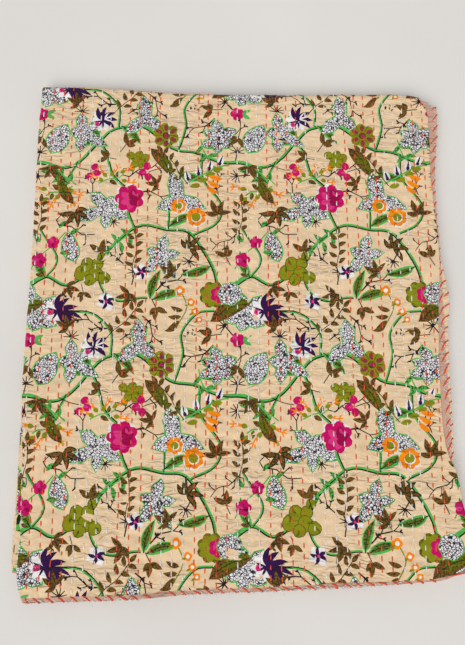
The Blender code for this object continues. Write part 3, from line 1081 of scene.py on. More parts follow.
def unlike_edges(triangles, inks):
    """The points joined to each point by an edge between unlike inks."""
    beside = {}
    for number, corners in enumerate(triangles):
        for pair_of_points in zip(corners, (*corners[1:], corners[0])):
            beside.setdefault(tuple(sorted(pair_of_points)), []).append(inks[number])
    joined = {}
    for (a, b), sides in beside.items():
        if len(sides) == 2 and sides[0] != sides[1]:
            joined.setdefault(a, set()).add(b)
            joined.setdefault(b, set()).add(a)
    return joined


def off_line(point, a, b):
    """How far a point lies off the line through two others."""
    dx, dy = b - a
    return abs(dx * (point[1] - a[1]) - dy * (point[0] - a[0])) / (math.hypot(dx, dy) or 1.0)


def straighten(joined, places, tolerance):
    """Leaves out each point that lies on the line between the two it is joined to."""
    for point in sorted(joined):
        if len(joined[point]) != 2:
            continue
        a, b = joined[point]
        if b in joined[a] or off_line(places[point], places[a], places[b]) > tolerance:
            continue
        for end, other in ((a, b), (b, a)):
            joined[end].discard(point)
            joined[end].add(other)
        joined[point] = set()


def drawn_edges(shapes, tolerance):
    """The edges between unlike inks in one repeat, as pairs of points in metres."""
    places, triangles = cut_repeat(shapes)
    joined = unlike_edges(triangles, inks_at(places[np.array(triangles)].mean(axis=1), shapes))
    straighten(joined, places, tolerance)
    found = []
    for a, others in joined.items():
        for b in others:
            x, y = (places[a] + places[b]) / 2
            if a < b and 0 <= x < TILE[0] and 0 <= y < TILE[1]:
                found.append((tuple(places[a] * MM), tuple(places[b] * MM)))
    return found


def clipped(a, b):
    """The part of a straight line that lies on the flat cloth, or nothing."""
    low, high = 0.0, 1.0
    for start, end, most in ((a[0], b[0], FLAT_X), (a[1], b[1], FLAT_Y)):
        if abs(end - start) < STRAIGHT:
            if not INSET < start < most - INSET:
                return None
            continue
        near, far = sorted(((INSET - start) / (end - start), (most - INSET - start) / (end - start)))
        low, high = max(low, near), min(high, far)
    if low >= high:
        return None
    return [(mix(a[0], b[0], share), mix(a[1], b[1], share)) for share in (low, high)]


def outlines(shapes):
    """The edges of the print that the outer face is cut along, as pairs of places in the flat cloth."""
    found = []
    kinds = ((drawn_edges(shapes, FINE_LINE), True), (drawn_edges(large(shapes), COARSE_LINE), False))
    for edges, whole in kinds:
        for column in range(-1, round(FLAT_X / MM / TILE[0]) + 1):
            for row in range(-1, round(FLAT_Y / MM / TILE[1]) + 1):
                at_x, at_y = column * TILE[0] * MM, row * TILE[1] * MM
                for a, b in edges:
                    ends = clipped(*(cloth_place(x + at_x, y + at_y) for x, y in (a, b)))
                    if ends is None:
                        continue
                    middle = mix(ends[0][0], ends[1][0], 0.5), mix(ends[0][1], ends[1][1], 0.5)
                    if detailed(*middle) == whole and seen(*middle):
                        found.append(ends)
    return found


def steps_between(low, high, step):
    """Places about a step apart between two ends, without the ends."""
    count = max(round((high - low) / step), 1)
    return [low + (high - low) * number / count for number in range(1, count)]


def face_points():
    """The points of the outer face between its cuts, close together where it is looked at."""
    found = []
    columns = [FACE_X + (number + 0.5) * FINE_X for number in range(3 * ROWS)]
    found += [(u, v) for u in columns for v in steps_between(FACE_Y, ALONG.starts[1], FINE_Y)]
    below = steps_between(ALONG.starts[2], ALONG.starts[3], PLAIN_STEP)
    found += [(u, v) for u in steps_between(FACE_X, ACROSS.starts[3], PLAIN_STEP) for v in below]
    return found


def uncut(u, v):
    """True on the upper face and the underside, which have points of their own in place of cuts."""
    on_run = 0 < v < ALONG.starts[1] or ALONG.starts[2] < v < ALONG.starts[3]
    return FACE_X < u < ACROSS.starts[3] and on_run


def outer_face(shapes):
    """The outer face of the flat cloth as (points, triangles)."""
    lines_x, lines_y = cut_lines(ACROSS, CUT_X, HEM_X), cut_lines(ALONG, CUT_Y, HEM_Y)
    points, edges, numbers = [], [], {}

    def number_of(point):
        key = (round(point[0], POINT_DIGITS), round(point[1], POINT_DIGITS))
        if key not in numbers:
            numbers[key] = len(points)
            points.append(Vector(point))
        return numbers[key]

    def add_cut(chain):
        ends = [number_of(point) for point in chain]
        edges.extend(zip(ends, ends[1:]))

    for u in lines_x:
        in_fold = ACROSS.locate(u)[0] in (1, 3) or u in (FACE_X, ACROSS.starts[3])
        for low, high in zip(lines_y, lines_y[1:]):
            if low < HEM_Y or not uncut(u, (low + high) / 2):
                middle = steps_between(low, high, EDGE_STEP) if in_fold else []
                add_cut([(u, v) for v in (low, *middle, high)])
    for v in lines_y:
        for low, high in zip(lines_x, lines_x[1:]):
            if v == HEM_Y or not uncut((low + high) / 2, v):
                on_face = FACE_X <= (low + high) / 2 <= ACROSS.starts[3]
                in_fold = on_face and ALONG.starts[1] <= v <= ALONG.starts[2]
                middle = steps_between(low, high, FINE_X) if in_fold else []
                add_cut([(u, v) for u in (low, *middle, high)])
    for point in face_points():
        number_of(point)
    for a, b in outlines(shapes):
        ends = number_of(a), number_of(b)
        if ends[0] != ends[1]:
            edges.append(ends)
    flat, _, triangles, *_ = delaunay_2d_cdt(points, edges, [], 0, ONE_CLOTH_POINT, False)
    return [(point.x, point.y) for point in flat], [tuple(face) for face in triangles]


def inside(spots, ring_of_points):
    """True for each spot inside a closed ring of points."""
    x, y = spots[:, 0], spots[:, 1]
    found = np.zeros(len(spots), dtype=bool)
    for (ax, ay), (bx, by) in zip(ring_of_points, np.roll(ring_of_points, -1, axis=0)):
        if ay != by:
            found ^= ((ay > y) != (by > y)) & (x < (bx - ax) * (y - ay) / (by - ay) + ax)
    return found


def inks_at(places, shapes):
    """The number of the ink at each place in the print, in millimetres."""
    spots = places % np.array(TILE)
    names = list(INKS)
    found = np.zeros(len(spots), dtype=int)
    for ink, outline in shapes:
        corners = np.array(outline)
        for shift in shifts(corners.min(axis=0), corners.max(axis=0)):
            moved = corners + shift
            boxed = ((spots > moved.min(axis=0)) & (spots < moved.max(axis=0))).all(axis=1)
            near = np.nonzero(boxed)[0]
            found[near[inside(spots[near], moved)]] = names.index(ink)
    return found


def inked(points, triangles, shapes):
    """The number of the ink on each triangle of the outer face."""
    middles = np.array(points)[np.array(triangles)].mean(axis=1)
    whole = np.array([detailed(u, v) for u, v in middles])
    places = np.array([print_place(u, v) for u, v in middles]) / MM
    found = np.zeros(len(triangles), dtype=int)
    found[whole] = inks_at(places[whole], shapes)
    found[~whole] = inks_at(places[~whole], large(shapes))
    for axis, hem, most in ((0, HEM_X, FLAT_X), (1, HEM_Y, FLAT_Y)):
        found[(middles[:, axis] < hem) | (middles[:, axis] > most - hem)] = list(INKS).index("margin")
    return found


def rim(columns, rows):
    """The way around the edge of the grid of cuts, as (column, row)."""
    there = [(i, 0) for i in range(columns)] + [(columns - 1, j) for j in range(1, rows)]
    back = [(i, rows - 1) for i in range(columns - 2, -1, -1)] + [(0, j) for j in range(rows - 2, 0, -1)]
    return there + back


def inner_faces(flat, lines_x, lines_y):
    """The faces on the inner side of the cloth, and along its hems, where they join the outer points."""
    columns, rows = len(lines_x), len(lines_y)

    def inner(i, j):
        return len(flat) + i * rows + j

    faces = [
        (inner(i, j), inner(i, j + 1), inner(i + 1, j + 1), inner(i + 1, j))
        for i in range(columns - 1) for j in range(rows - 1)
    ]
    outer_at = KDTree(len(flat))
    for number, (u, v) in enumerate(flat):
        outer_at.insert((u, v, 0.0), number)
    outer_at.balance()
    around = rim(columns, rows)
    for here, ahead in zip(around, around[1:] + around[:1]):
        a, b = (outer_at.find((lines_x[i], lines_y[j], 0.0))[1] for i, j in (here, ahead))
        faces.append((b, a, inner(*here), inner(*ahead)))
    return faces


def paint(mesh, face_inks):
    """The print in colour attributes: its inks, and how much scribble and stipple cover them."""
    loops = np.zeros(len(mesh.polygons), dtype=int)
    mesh.polygons.foreach_get("loop_total", loops)
    corner_inks = np.repeat(face_inks, loops)
    colours = np.array([[*colour, 1.0] for colour, _, _ in INKS.values()])
    marks = np.array([[scribble, stipple, 0.0, 1.0] for _, scribble, stipple in INKS.values()])
    for name, table in (("print", colours), ("marks", marks)):
        layer = mesh.color_attributes.new(name=name, type="FLOAT_COLOR", domain="CORNER")
        layer.data.foreach_set("color", table[corner_inks].ravel())


def quilt_mesh():
    """The folded cloth as one closed mesh, with its print."""
    shapes = tile_shapes()
    flat, triangles = outer_face(shapes)
    inks = inked(flat, triangles, shapes)
    lines_x, lines_y = cut_lines(ACROSS, CUT_X, HEM_X), cut_lines(ALONG, CUT_Y, HEM_Y)
    flat_inner = [(u, v) for u in lines_x for v in lines_y]
    inner = inner_faces(flat, lines_x, lines_y)

    mesh = bpy.data.meshes.new("quilt_cloth")
    verts = [fold(u, v, 1.0) for u, v in flat] + [fold(u, v, 0.0) for u, v in flat_inner]
    mesh.from_pydata(verts, [], triangles + inner)
    mesh.update()
    paint(mesh, np.concatenate([inks, np.full(len(inner), list(INKS).index("ground"))]))
    places = np.array([print_place(u, v) for u, v in flat + flat_inner])
    corners = np.zeros(len(mesh.loops), dtype=int)
    mesh.loops.foreach_get("vertex_index", corners)
    uv = mesh.uv_layers.new(name="flat_cloth")
    uv.data.foreach_set("uv", places[corners].ravel())
    mesh.shade_smooth()
    mesh.set_sharp_from_angle(angle=math.radians(SHARP_EDGE))
    return mesh


# ---------------------------------------------------------------- materials

# The printed cotton. A scale is how many features go into a metre of the flat cloth, and a pair of scales
# is across and along it. The other pairs are the ends of a range: of the noise, or of the shade or the
# roughness that it gives.
STRAY_SCALE = 420.0
STRAY = 0.9 * MM
SCRIBBLE_COLOUR = srgb(44, 38, 48)
SCRIBBLE_SCALE = 300.0
SCRIBBLE_LINE = (0.075, 0.13)
STIPPLE_COLOUR = srgb(46, 38, 18)
STIPPLE_SCALE = 360.0
STIPPLE_DOT = (0.50, 0.58)
STIPPLE_STRENGTH = 0.85
WORN_SCALE = 90.0
WORN_NOISE = (0.25, 0.75)
WORN_SHADE = (0.85, 1.13)
# A slub is a thicker stretch of yarn, and runs along the warp or the weft.
SLUB_SCALES = (2600.0, 60.0)
SLUB_NOISE = (0.6, 1.4)
SLUB_SHADE = (0.93, 1.07)
SLUB_ROUGHNESS = (0.82, 0.96)
WEAVE = 0.75 * MM
WEAVE_SHARE = 0.25
WEAVE_STRENGTH = 0.35
WEAVE_HEIGHT = 0.4 * MM
# The small puckers between the stitches, which are calm in places
RIPPLE_SCALES = (30.0, 88.0)
RIPPLE_BEND = 0.7
RIPPLE_HEIGHT = 9.5 * MM
CALM_SCALE = 12.0
CALM_NOISE = (0.35, 0.62)
SHEEN = {"Sheen Weight": 0.08, "Sheen Roughness": 0.5, "Specular IOR Level": 0.12}

# The sewing thread. Scales are per metre, and the tones are shares of its plain colour.
DYE_SCALE = 900.0
DARK_TONE = 0.72
LIGHT_TONE = 1.25
LIGHT_MORE = 0.02
TWIST_SCALE = 700.0
TWIST_HEIGHT = 0.3 * MM
MIDDLE_NOISE = (0.3, 0.7)


class Nodes:
    """Adds nodes to a material in short lines."""

    def __init__(self, name):
        self.material = bpy.data.materials.new(name)
        self.material.use_nodes = True
        self.tree = self.material.node_tree

    def give(self, node, values):
        """Sets the inputs of a node, or links those whose value is an output of another."""
        for name, value in values.items():
            if isinstance(value, bpy.types.NodeSocket):
                self.tree.links.new(value, node.inputs[name])
            else:
                node.inputs[name].default_value = value

    def add(self, kind, values=None, **settings):
        node = self.tree.nodes.new("ShaderNode" + kind)
        for name, value in settings.items():
            setattr(node, name, value)
        self.give(node, values or {})
        return node

    def maths(self, operation, a, b=0.0):
        return self.add("Math", {0: a, 1: b}, operation=operation).outputs[0]

    def vector(self, operation, a, b):
        return self.add("VectorMath", {0: a, 1: b}, operation=operation).outputs[0]

    def cloud(self, place, scale=1.0, detail=2.0, **more):
        """The outputs of soft noise, from about 0 to 1."""
        return self.add("TexNoise", {"Vector": place, "Scale": scale, "Detail": detail, **more}).outputs

    def blend(self, share, a, b, way="MIX"):
        node = self.add("Mix", {0: share, 6: a, 7: b}, data_type="RGBA", blend_type=way)
        return node.outputs[2]

    def ranged(self, value, ends, new_ends, way="LINEAR"):
        """A value brought from one range to another."""
        names = ("From Min", "From Max", "To Min", "To Max")
        values = {"Value": value, **dict(zip(names, (*ends, *new_ends)))}
        return self.add("MapRange", values, clamp=True, interpolation_type=way).outputs["Result"]

    def step(self, value, ends):
        return self.ranged(value, ends, (0.0, 1.0), "SMOOTHSTEP")

    def bump(self, height, strength, distance, **more):
        values = {"Height": height, "Strength": strength, "Distance": distance, **more}
        return self.add("Bump", values).outputs[0]

    def finish(self, values):
        self.give(self.tree.nodes["Principled BSDF"], values)
        return self.material


def inked_colour(nodes, place):
    """The inks, with scribble and stipple over them that stray a little, as if drawn by hand."""
    ink = nodes.add("VertexColor", layer_name="print").outputs[0]
    marks = nodes.add("SeparateColor", {0: nodes.add("VertexColor", layer_name="marks").outputs[0]}).outputs
    stray = nodes.vector("SUBTRACT", nodes.cloud(place, STRAY_SCALE)["Color"], (0.5, 0.5, 0.5))
    stray = nodes.vector("MULTIPLY", stray, (STRAY, STRAY, STRAY))
    moved = nodes.vector("ADD", place, stray)

    cells = nodes.add("TexVoronoi", {"Vector": moved, "Scale": SCRIBBLE_SCALE}, feature="DISTANCE_TO_EDGE")
    lines = nodes.maths("SUBTRACT", 1.0, nodes.step(cells.outputs[0], SCRIBBLE_LINE))
    colour = nodes.blend(nodes.maths("MULTIPLY", lines, marks[0]), ink, (*SCRIBBLE_COLOUR, 1.0))

    dots = nodes.step(nodes.cloud(moved, STIPPLE_SCALE, detail=1.0)[0], STIPPLE_DOT)
    dots = nodes.maths("MULTIPLY", nodes.maths("MULTIPLY", dots, marks[1]), STIPPLE_STRENGTH)
    return nodes.blend(dots, colour, (*STIPPLE_COLOUR, 1.0))


def cloth_height(nodes, place, slubs):
    """The weave with its slubs, and the small puckers, as a normal."""
    waves = [
        nodes.maths("SINE", nodes.maths("MULTIPLY", way, 2 * math.pi / WEAVE))
        for way in nodes.add("SeparateXYZ", {0: place}).outputs[:2]
    ]
    weave = nodes.maths("MULTIPLY", nodes.maths("MULTIPLY", *waves), WEAVE_SHARE)
    woven = nodes.bump(nodes.maths("ADD", weave, slubs), WEAVE_STRENGTH, WEAVE_HEIGHT)
    ripple = nodes.cloud(nodes.vector("MULTIPLY", place, (*RIPPLE_SCALES, 1.0)), Distortion=RIPPLE_BEND)[0]
    ripple = nodes.maths("ABSOLUTE", nodes.maths("SUBTRACT", ripple, 0.5))
    calm = nodes.step(nodes.cloud(place, CALM_SCALE, detail=1.0)[0], CALM_NOISE)
    return nodes.bump(nodes.maths("MULTIPLY", ripple, calm), 1.0, RIPPLE_HEIGHT, Normal=woven)


def cotton_material():
    """Printed cotton: the inks, worn in places, on a plain weave."""
    nodes = Nodes("printed cotton")
    place = nodes.add("UVMap", uv_map="flat_cloth").outputs[0]
    warp, weft = (
        nodes.cloud(nodes.vector("MULTIPLY", place, (*scales, 1.0)))[0]
        for scales in (SLUB_SCALES, SLUB_SCALES[::-1])
    )
    slubs = nodes.maths("ADD", warp, weft)
    worn = nodes.cloud(place, WORN_SCALE, detail=5.0, Roughness=0.75)[0]
    worn = nodes.ranged(worn, WORN_NOISE, WORN_SHADE)
    shade = nodes.maths("MULTIPLY", worn, nodes.ranged(slubs, SLUB_NOISE, SLUB_SHADE))
    tint = nodes.add("CombineColor", {0: shade, 1: shade, 2: shade}).outputs[0]
    return nodes.finish({
        "Base Color": nodes.blend(1.0, inked_colour(nodes, place), tint, "MULTIPLY"),
        "Roughness": nodes.ranged(slubs, SLUB_NOISE, SLUB_ROUGHNESS),
        "Normal": cloth_height(nodes, place, slubs),
        **SHEEN,
    })


def thread_material(name, colour):
    """Soft cotton thread with a twist and uneven dye."""
    nodes = Nodes(name)
    place = nodes.add("TexCoord").outputs["Object"]
    light = tuple(min(part * LIGHT_TONE + LIGHT_MORE, 1.0) for part in colour)
    dark = tuple(part * DARK_TONE for part in colour)
    dye = nodes.step(nodes.cloud(place, DYE_SCALE, detail=3.0)[0], MIDDLE_NOISE)
    twist = nodes.add("TexWave", {"Vector": place, "Scale": TWIST_SCALE, "Distortion": 3.0}).outputs[1]
    return nodes.finish({
        "Base Color": nodes.blend(dye, (*dark, 1.0), (*light, 1.0)),
        "Roughness": 0.85,
        "Normal": nodes.bump(twist, 0.5, TWIST_HEIGHT),
        "Specular IOR Level": 0.2,
    })


# ---------------------------------------------------------------- threads

# How far apart the places lie that the cloth's direction is taken from
NORMAL_STEP = 0.4 * MM

# Running stitches: how long one is, how far on the next one starts, and how thick the thread is
STITCH = 7.4 * MM
STITCH_PITCH = 13.2 * MM
THREAD = 1.6 * MM
# columns: place along a running stitch, height above the cloth in millimetres, share of its thickness
RUNNING = ((0.0, -0.25, 0.7), (0.16, 0.25, 1.0), (0.5, 0.45, 1.05), (0.84, 0.25, 1.0), (1.0, -0.25, 0.7))
RED_ROWS = ((1, 4), (9, 12), (16, 19), (23, 26), (31, 34), (38, 39))
# The ranges that a stitch's length and pitch are drawn from, as shares, and where a row starts and how far
# a stitch strays from it, in millimetres
STITCH_LENGTHS = (0.82, 1.15)
STITCH_PITCHES = (0.93, 1.07)
ROW_STARTS = (-12, 0)
STITCH_STRAYS = (-0.4, 0.4)
# How far from the near hem stitches start, and how far past the sides of the upper face they go on
FIRST_STITCH = 3 * MM
PAST_SIDES = 4 * MM

# Whip stitches over the side hems and the end hems: how far on the next one starts, how far in from the
# hem one reaches, how far it slants, and where the loose thread beside them lies, as a share of its wave
WHIP_X = {"pitch": 16.8 * MM, "reach": 4.4 * MM, "slant": 11.0 * MM, "loose": 0.8}
WHIP_Y = {"pitch": 15.6 * MM, "reach": 4.6 * MM, "slant": 9.0 * MM, "loose": 0.2}
WHIP_THREAD = 1.9 * MM
# columns: share of the reach from the hem, share of the slant, 1 on the outer face and 0 on the inner
WHIP = (
    (1.0, 0.0, 1), (0.66, 0.33, 1), (0.33, 0.66, 1), (0.02, 0.95, 1), (0.02, 1.0, 0), (0.4, 1.2, 0),
    (0.9, 1.5, 0),
)
# The ranges that their reach and slant and their pitch are drawn from, and how many slants from a hem's
# ends they begin and end
WHIP_SEED = 77
WHIP_SIZES = (0.85, 1.15)
WHIP_PITCHES = (0.92, 1.08)
WHIP_ENDS = 1.7
# How far they stand off the cloth and, where they go around the hem, out from it, in millimetres. They go
# around it from this share of their reach.
WHIP_LIFT = 0.45
WHIP_OUT = 0.5
AROUND_HEM = 0.1
# How thick their two ends are, as a share, and how far in the direction out of the hem is taken from
WHIP_TIP = 0.6
HEM_DEPTH = 3 * MM

# Loose pale thread: its thickness, how far it waves, how far it stands off the cloth in millimetres, and how
# many points a length of it has
LOOSE = 1.1 * MM
WAVE = 2.3 * MM
LOOSE_LIFT = 0.3
LOOSE_POINTS = 21
# The ranges of its lengths and of the gaps between them, in millimetres, and of its waves, as shares of the
# pitch of the whip stitches. It starts and ends some way from a hem's ends.
LOOSE_SEED = 5
LOOSE_LENGTHS = (30, 60)
LOOSE_GAPS = (2, 20)
LOOSE_WAVES = (0.85, 1.1)
LOOSE_FROM = 10 * MM
LOOSE_TO = 60 * MM
# Frayed ends at the near hem: how many, the places across that they gather at, and how far around them they
# lie in millimetres. Each has short steps that turn this way and that, in radians, and sink.
FRAYED = 14
FRAYED_AT = (0.2, 0.36, 0.4, 0.44, 0.62, 0.66, 0.8)
FRAYED_SPREAD = (-12, 12)
FRAYED_ROOT = Vector((0.0, 1.0, 0.3)) * MM
FRAYED_STEPS = 6
FRAYED_STEP = 1.5
FRAYED_TURNS = (-2.4, -0.7)
FRAYED_BENDS = (-0.5, 0.5)
FRAYED_SINK = -0.45


def normal_at(u, v, out):
    """The direction straight out of the cloth's outer or inner face."""
    step = NORMAL_STEP
    across = fold(min(u + step, FLAT_X), v, out) - fold(max(u - step, 0.0), v, out)
    along = fold(u, min(v + step, FLAT_Y), out) - fold(u, max(v - step, 0.0), out)
    return across.cross(along).normalized() * (1 if out > 0.5 else -1)


class Threads:
    """Many short threads, joined in one mesh."""

    def __init__(self):
        self.verts = []
        self.faces = []

    def sew(self, path, ups, widths, flat=0.6, sides=5):
        """A closed thread along a path, with the direction out of the cloth at each point. flat is its
        height as a share of its width."""
        start = len(self.verts)
        for number, (place, up) in enumerate(zip(path, ups)):
            ahead = path[min(number + 1, len(path) - 1)] - path[max(number - 1, 0)]
            side = ahead.cross(up).normalized()
            over = side.cross(ahead).normalized()
            reach = widths[number] / 2
            for k in range(sides):
                angle = 2 * math.pi * (k + 0.25) / sides
                sideways = side * reach * math.cos(angle)
                upward = over * reach * flat * math.sin(angle)
                self.verts.append(place + sideways + upward)
        for ring_start in range(start, start + (len(path) - 1) * sides, sides):
            for k in range(sides):
                a, b = ring_start + k, ring_start + (k + 1) % sides
                self.faces.append((a, a + sides, b + sides, b))
        last = start + (len(path) - 1) * sides
        self.faces.append(tuple(start + k for k in range(sides)))
        self.faces.append(tuple(last + k for k in range(sides - 1, -1, -1)))

    def piece(self, name, material):
        """The threads as one object, with nothing below the floor."""
        mesh = bpy.data.meshes.new(name)
        mesh.from_pydata([(x, y, max(z, 0.0)) for x, y, z in self.verts], [], self.faces)
        mesh.update()
        mesh.materials.append(material)
        mesh.shade_smooth()
        found = bpy.data.objects.new(name, mesh)
        bpy.context.scene.collection.objects.link(found)
        return found


def row_place(row, q, shift):
    """A place on a row of stitches, in the flat cloth."""
    return cloth_place(FACE_X + (row + 0.5) * ROW_PITCH + row_wander(row, q) + shift, q)


def running_stitch(threads, row, start, long, shift):
    path, ups, widths = [], [], []
    for share, lift, wide in RUNNING:
        u, v = row_place(row, start + share * long, shift)
        up = normal_at(u, v, 1.0)
        path.append(fold(u, v, 1.0) + up * lift * MM)
        ups.append(up)
        widths.append(THREAD * wide)
    threads.sew(path, ups, widths)


def running_stitches(rows):
    """Rows of running stitches over the upper face and the fold at its far end."""
    threads = Threads()
    for row in rows:
        dice = random.Random(row)
        q = dice.uniform(*ROW_STARTS) * MM
        while True:
            long = STITCH * dice.uniform(*STITCH_LENGTHS)
            shift = dice.uniform(*STITCH_STRAYS) * MM
            u, v = row_place(row, q, shift)
            if v > ALONG.starts[2] - STITCH:
                break
            if v > FIRST_STITCH and FACE_X - PAST_SIDES < u < ACROSS.starts[3] + PAST_SIDES:
                running_stitch(threads, row, q, long, shift)
            q += STITCH_PITCH * dice.uniform(*STITCH_PITCHES)
    return threads


def whip(threads, spot, away, lean, sizes, dice):
    """One slanting stitch over a hem. spot(inward, along) is a place on the flat cloth."""
    def on_cloth(inward, along):
        u, v = spot(inward, along)
        return min(max(u, 0.0), FLAT_X), min(max(v, 0.0), FLAT_Y)

    reach = sizes["reach"] * dice.uniform(*WHIP_SIZES)
    slant = lean * sizes["slant"] * dice.uniform(*WHIP_SIZES)
    path, ups = [], []
    for inward, along, out in WHIP:
        u, v = on_cloth(inward * reach, away + along * slant)
        up = normal_at(u, v, out)
        edge = fold(*on_cloth(0.0, away + along * slant), out)
        inner = fold(*on_cloth(HEM_DEPTH, away + along * slant), out)
        outward = (edge - inner).normalized() * (WHIP_OUT * MM if inward < AROUND_HEM else 0.0)
        path.append(fold(u, v, out) + up * WHIP_LIFT * MM + outward)
        ups.append((up + outward / MM).normalized())
    ends = WHIP_TIP * WHIP_THREAD
    threads.sew(path, ups, [ends, *[WHIP_THREAD] * (len(WHIP) - 2), ends], flat=0.7)


def hem_spots():
    """The two side hems and the two end hems over each run, each with its first and last place along it,
    its sizes, and the way its stitches slant, which makes them alike once the cloth is folded."""
    found = []
    for part in range(0, 7, 2):
        along, across = ALONG.starts[part:part + 2], ACROSS.starts[part:part + 2]
        found += [
            (lambda inward, place: (inward, place), along, WHIP_X, -1),
            (lambda inward, place: (FLAT_X - inward, place), along, WHIP_X, 1),
            (lambda inward, place: (place, inward), across, WHIP_Y, 1),
            (lambda inward, place: (place, FLAT_Y - inward), across, WHIP_Y, -1),
        ]
    return found


def whip_stitches():
    """Red stitches over all the hems."""
    threads = Threads()
    dice = random.Random(WHIP_SEED)
    for spot, (low, high), sizes, lean in hem_spots():
        at = low + WHIP_ENDS * sizes["slant"]
        while at < high - WHIP_ENDS * sizes["slant"]:
            whip(threads, spot, at, lean, sizes, dice)
            at += sizes["pitch"] * dice.uniform(*WHIP_PITCHES)
    return threads


def hem_place(spot, inward, place, out):
    """A point of the cloth near a hem, or out in the air beyond it where inward is below zero."""
    at = fold(*spot(max(inward, 0.0), place), out)
    if inward < 0.0:
        away = fold(*spot(0.0, place), out) - fold(*spot(MM, place), out)
        at += away.normalized() * -inward
    return at


def loose_wave(threads, spot, start, long, wave, middle, out):
    """One length of loose thread that waves over a hem."""
    path, ups = [], []
    for step in range(LOOSE_POINTS):
        share = step / (LOOSE_POINTS - 1)
        inward = WAVE * (middle + math.sin(2 * math.pi * (share * long / wave + 0.5 * out)))
        place = start + share * long
        up = normal_at(*spot(max(inward, 0.0), place), out)
        path.append(hem_place(spot, inward, place, out) + up * LOOSE_LIFT * MM)
        ups.append(up)
    threads.sew(path, ups, [LOOSE] * LOOSE_POINTS, flat=0.8, sides=3)


def frayed_end(threads, dice):
    u = FACE_X + dice.choice(FRAYED_AT) * 2 * HALF_X + dice.uniform(*FRAYED_SPREAD) * MM
    path = [fold(u, 0.0, dice.choice((0, 1))) + FRAYED_ROOT]
    turn = dice.uniform(*FRAYED_TURNS)
    for _ in range(FRAYED_STEPS):
        turn += dice.uniform(*FRAYED_BENDS)
        path.append(path[-1] + Vector((math.cos(turn), math.sin(turn), FRAYED_SINK)) * FRAYED_STEP * MM)
    count = len(path)
    threads.sew(path, [Vector((0.0, 0.0, 1.0))] * count, [LOOSE] * count, flat=0.8, sides=3)


def loose_threads():
    """Pale sewing thread that shows along the hems in loose waves, and frayed ends at the near hem."""
    threads = Threads()
    dice = random.Random(LOOSE_SEED)
    for spot, (low, high), sizes, _ in hem_spots():
        at = low + LOOSE_FROM
        while at < high - LOOSE_TO:
            long = dice.uniform(*LOOSE_LENGTHS) * MM
            wave = sizes["pitch"] * dice.uniform(*LOOSE_WAVES)
            for out in (0, 1):
                loose_wave(threads, spot, at, long, wave, sizes["loose"], out)
            at += long + dice.uniform(*LOOSE_GAPS) * MM
    for _ in range(FRAYED):
        frayed_end(threads, dice)
    return threads


# ---------------------------------------------------------------- floor, light and camera

CAMERA_TILT = math.radians(9.5)
CAMERA_AWAY = 0.7666
CAMERA_LENS = 31.19
LOOKED_AT = Vector((0.0, -1.0, 24.6)) * MM - MIDDLE
FLOOR_SIZE = 8.0
FLOOR_SCALE = 3.0
FLOOR_COLOURS = (srgb(226, 222, 217), srgb(230, 227, 222))
SKY_STRENGTH = 0.48
# The light comes from this direction, this strong, and this wide in degrees.
WINDOW = (-0.3, -0.85, 1.0)
WINDOW_STRENGTH = 1.95
WINDOW_SPREAD = 45


def make_floor():
    nodes = Nodes("pale floor")
    place = nodes.add("TexCoord").outputs["Object"]
    soft = nodes.step(nodes.cloud(place, FLOOR_SCALE, detail=3.0)[0], MIDDLE_NOISE)
    pale = nodes.blend(soft, *((*colour, 1.0) for colour in FLOOR_COLOURS))
    bpy.ops.mesh.primitive_plane_add(size=FLOOR_SIZE)
    floor = bpy.context.object
    floor.name = "floor"
    floor.data.materials.append(nodes.finish({"Base Color": pale, "Roughness": 0.9}))
    return floor


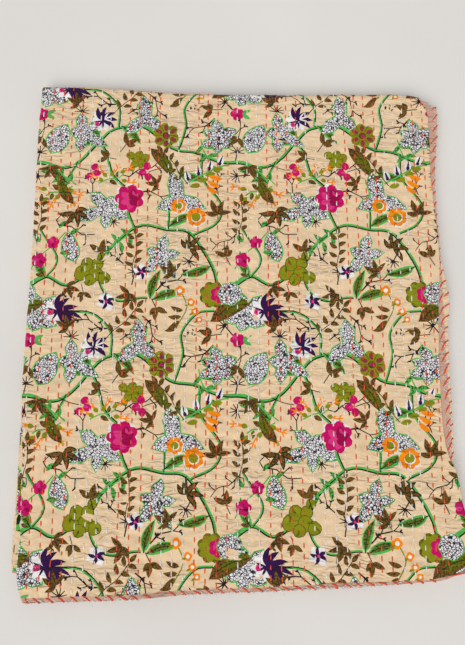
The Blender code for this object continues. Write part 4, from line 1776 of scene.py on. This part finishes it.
def make_light():
    """White light from all around, and a wide, soft one from the near left."""
    world = bpy.data.worlds.new("studio")
    world.use_nodes = True
    background = world.node_tree.nodes["Background"]
    background.inputs["Color"].default_value = (1.0, 1.0, 1.0, 1.0)
    background.inputs["Strength"].default_value = SKY_STRENGTH
    bpy.context.scene.world = world
    bpy.context.scene.view_settings.view_transform = "Standard"
    light = bpy.data.lights.new("window", "SUN")
    light.energy = WINDOW_STRENGTH
    light.angle = math.radians(WINDOW_SPREAD)
    lamp = bpy.data.objects.new("window", light)
    lamp.location = WINDOW
    lamp.rotation_euler = (-Vector(WINDOW)).to_track_quat("-Z", "Y").to_euler()
    bpy.context.scene.collection.objects.link(lamp)


def make_camera():
    data = bpy.data.cameras.new("camera")
    data.lens = CAMERA_LENS
    data.sensor_width = 36.0
    data.sensor_fit = "AUTO"
    camera = bpy.data.objects.new("camera", data)
    back = Vector((0.0, -math.sin(CAMERA_TILT), math.cos(CAMERA_TILT)))
    camera.location = LOOKED_AT + back * CAMERA_AWAY
    camera.rotation_euler = (CAMERA_TILT, 0.0, 0.0)
    bpy.context.scene.collection.objects.link(camera)
    bpy.context.scene.camera = camera


# ---------------------------------------------------------------- the scene

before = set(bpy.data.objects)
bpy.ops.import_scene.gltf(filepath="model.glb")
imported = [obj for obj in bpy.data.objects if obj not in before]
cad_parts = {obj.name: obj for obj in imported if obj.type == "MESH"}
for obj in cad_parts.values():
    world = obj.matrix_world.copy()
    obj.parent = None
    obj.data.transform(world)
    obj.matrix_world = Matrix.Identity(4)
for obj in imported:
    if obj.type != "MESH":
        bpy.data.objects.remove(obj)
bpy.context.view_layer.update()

make_camera()
make_light()
make_floor()

cloth = bpy.data.objects.new("quilt_cloth", quilt_mesh())
bpy.context.scene.collection.objects.link(cloth)
cloth.data.materials.append(cotton_material())
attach(cloth, "root")
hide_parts("quilt")

red_rows = [row for first, last in RED_ROWS for row in range(first, last + 1)]
white_rows = [row for row in range(ROWS) if row not in red_rows]
red = thread_material("red thread", srgb(246, 90, 48))
white = thread_material("white thread", srgb(255, 248, 236))
pale = thread_material("pale thread", srgb(248, 238, 224))
for name, threads, material in (
    ("red_stitches", running_stitches(red_rows), red),
    ("white_stitches", running_stitches(white_rows), white),
    ("hem_stitches", whip_stitches(), red),
    ("loose_threads", loose_threads(), pale),
):
    piece = threads.piece(name, material)
    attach(piece, "root")
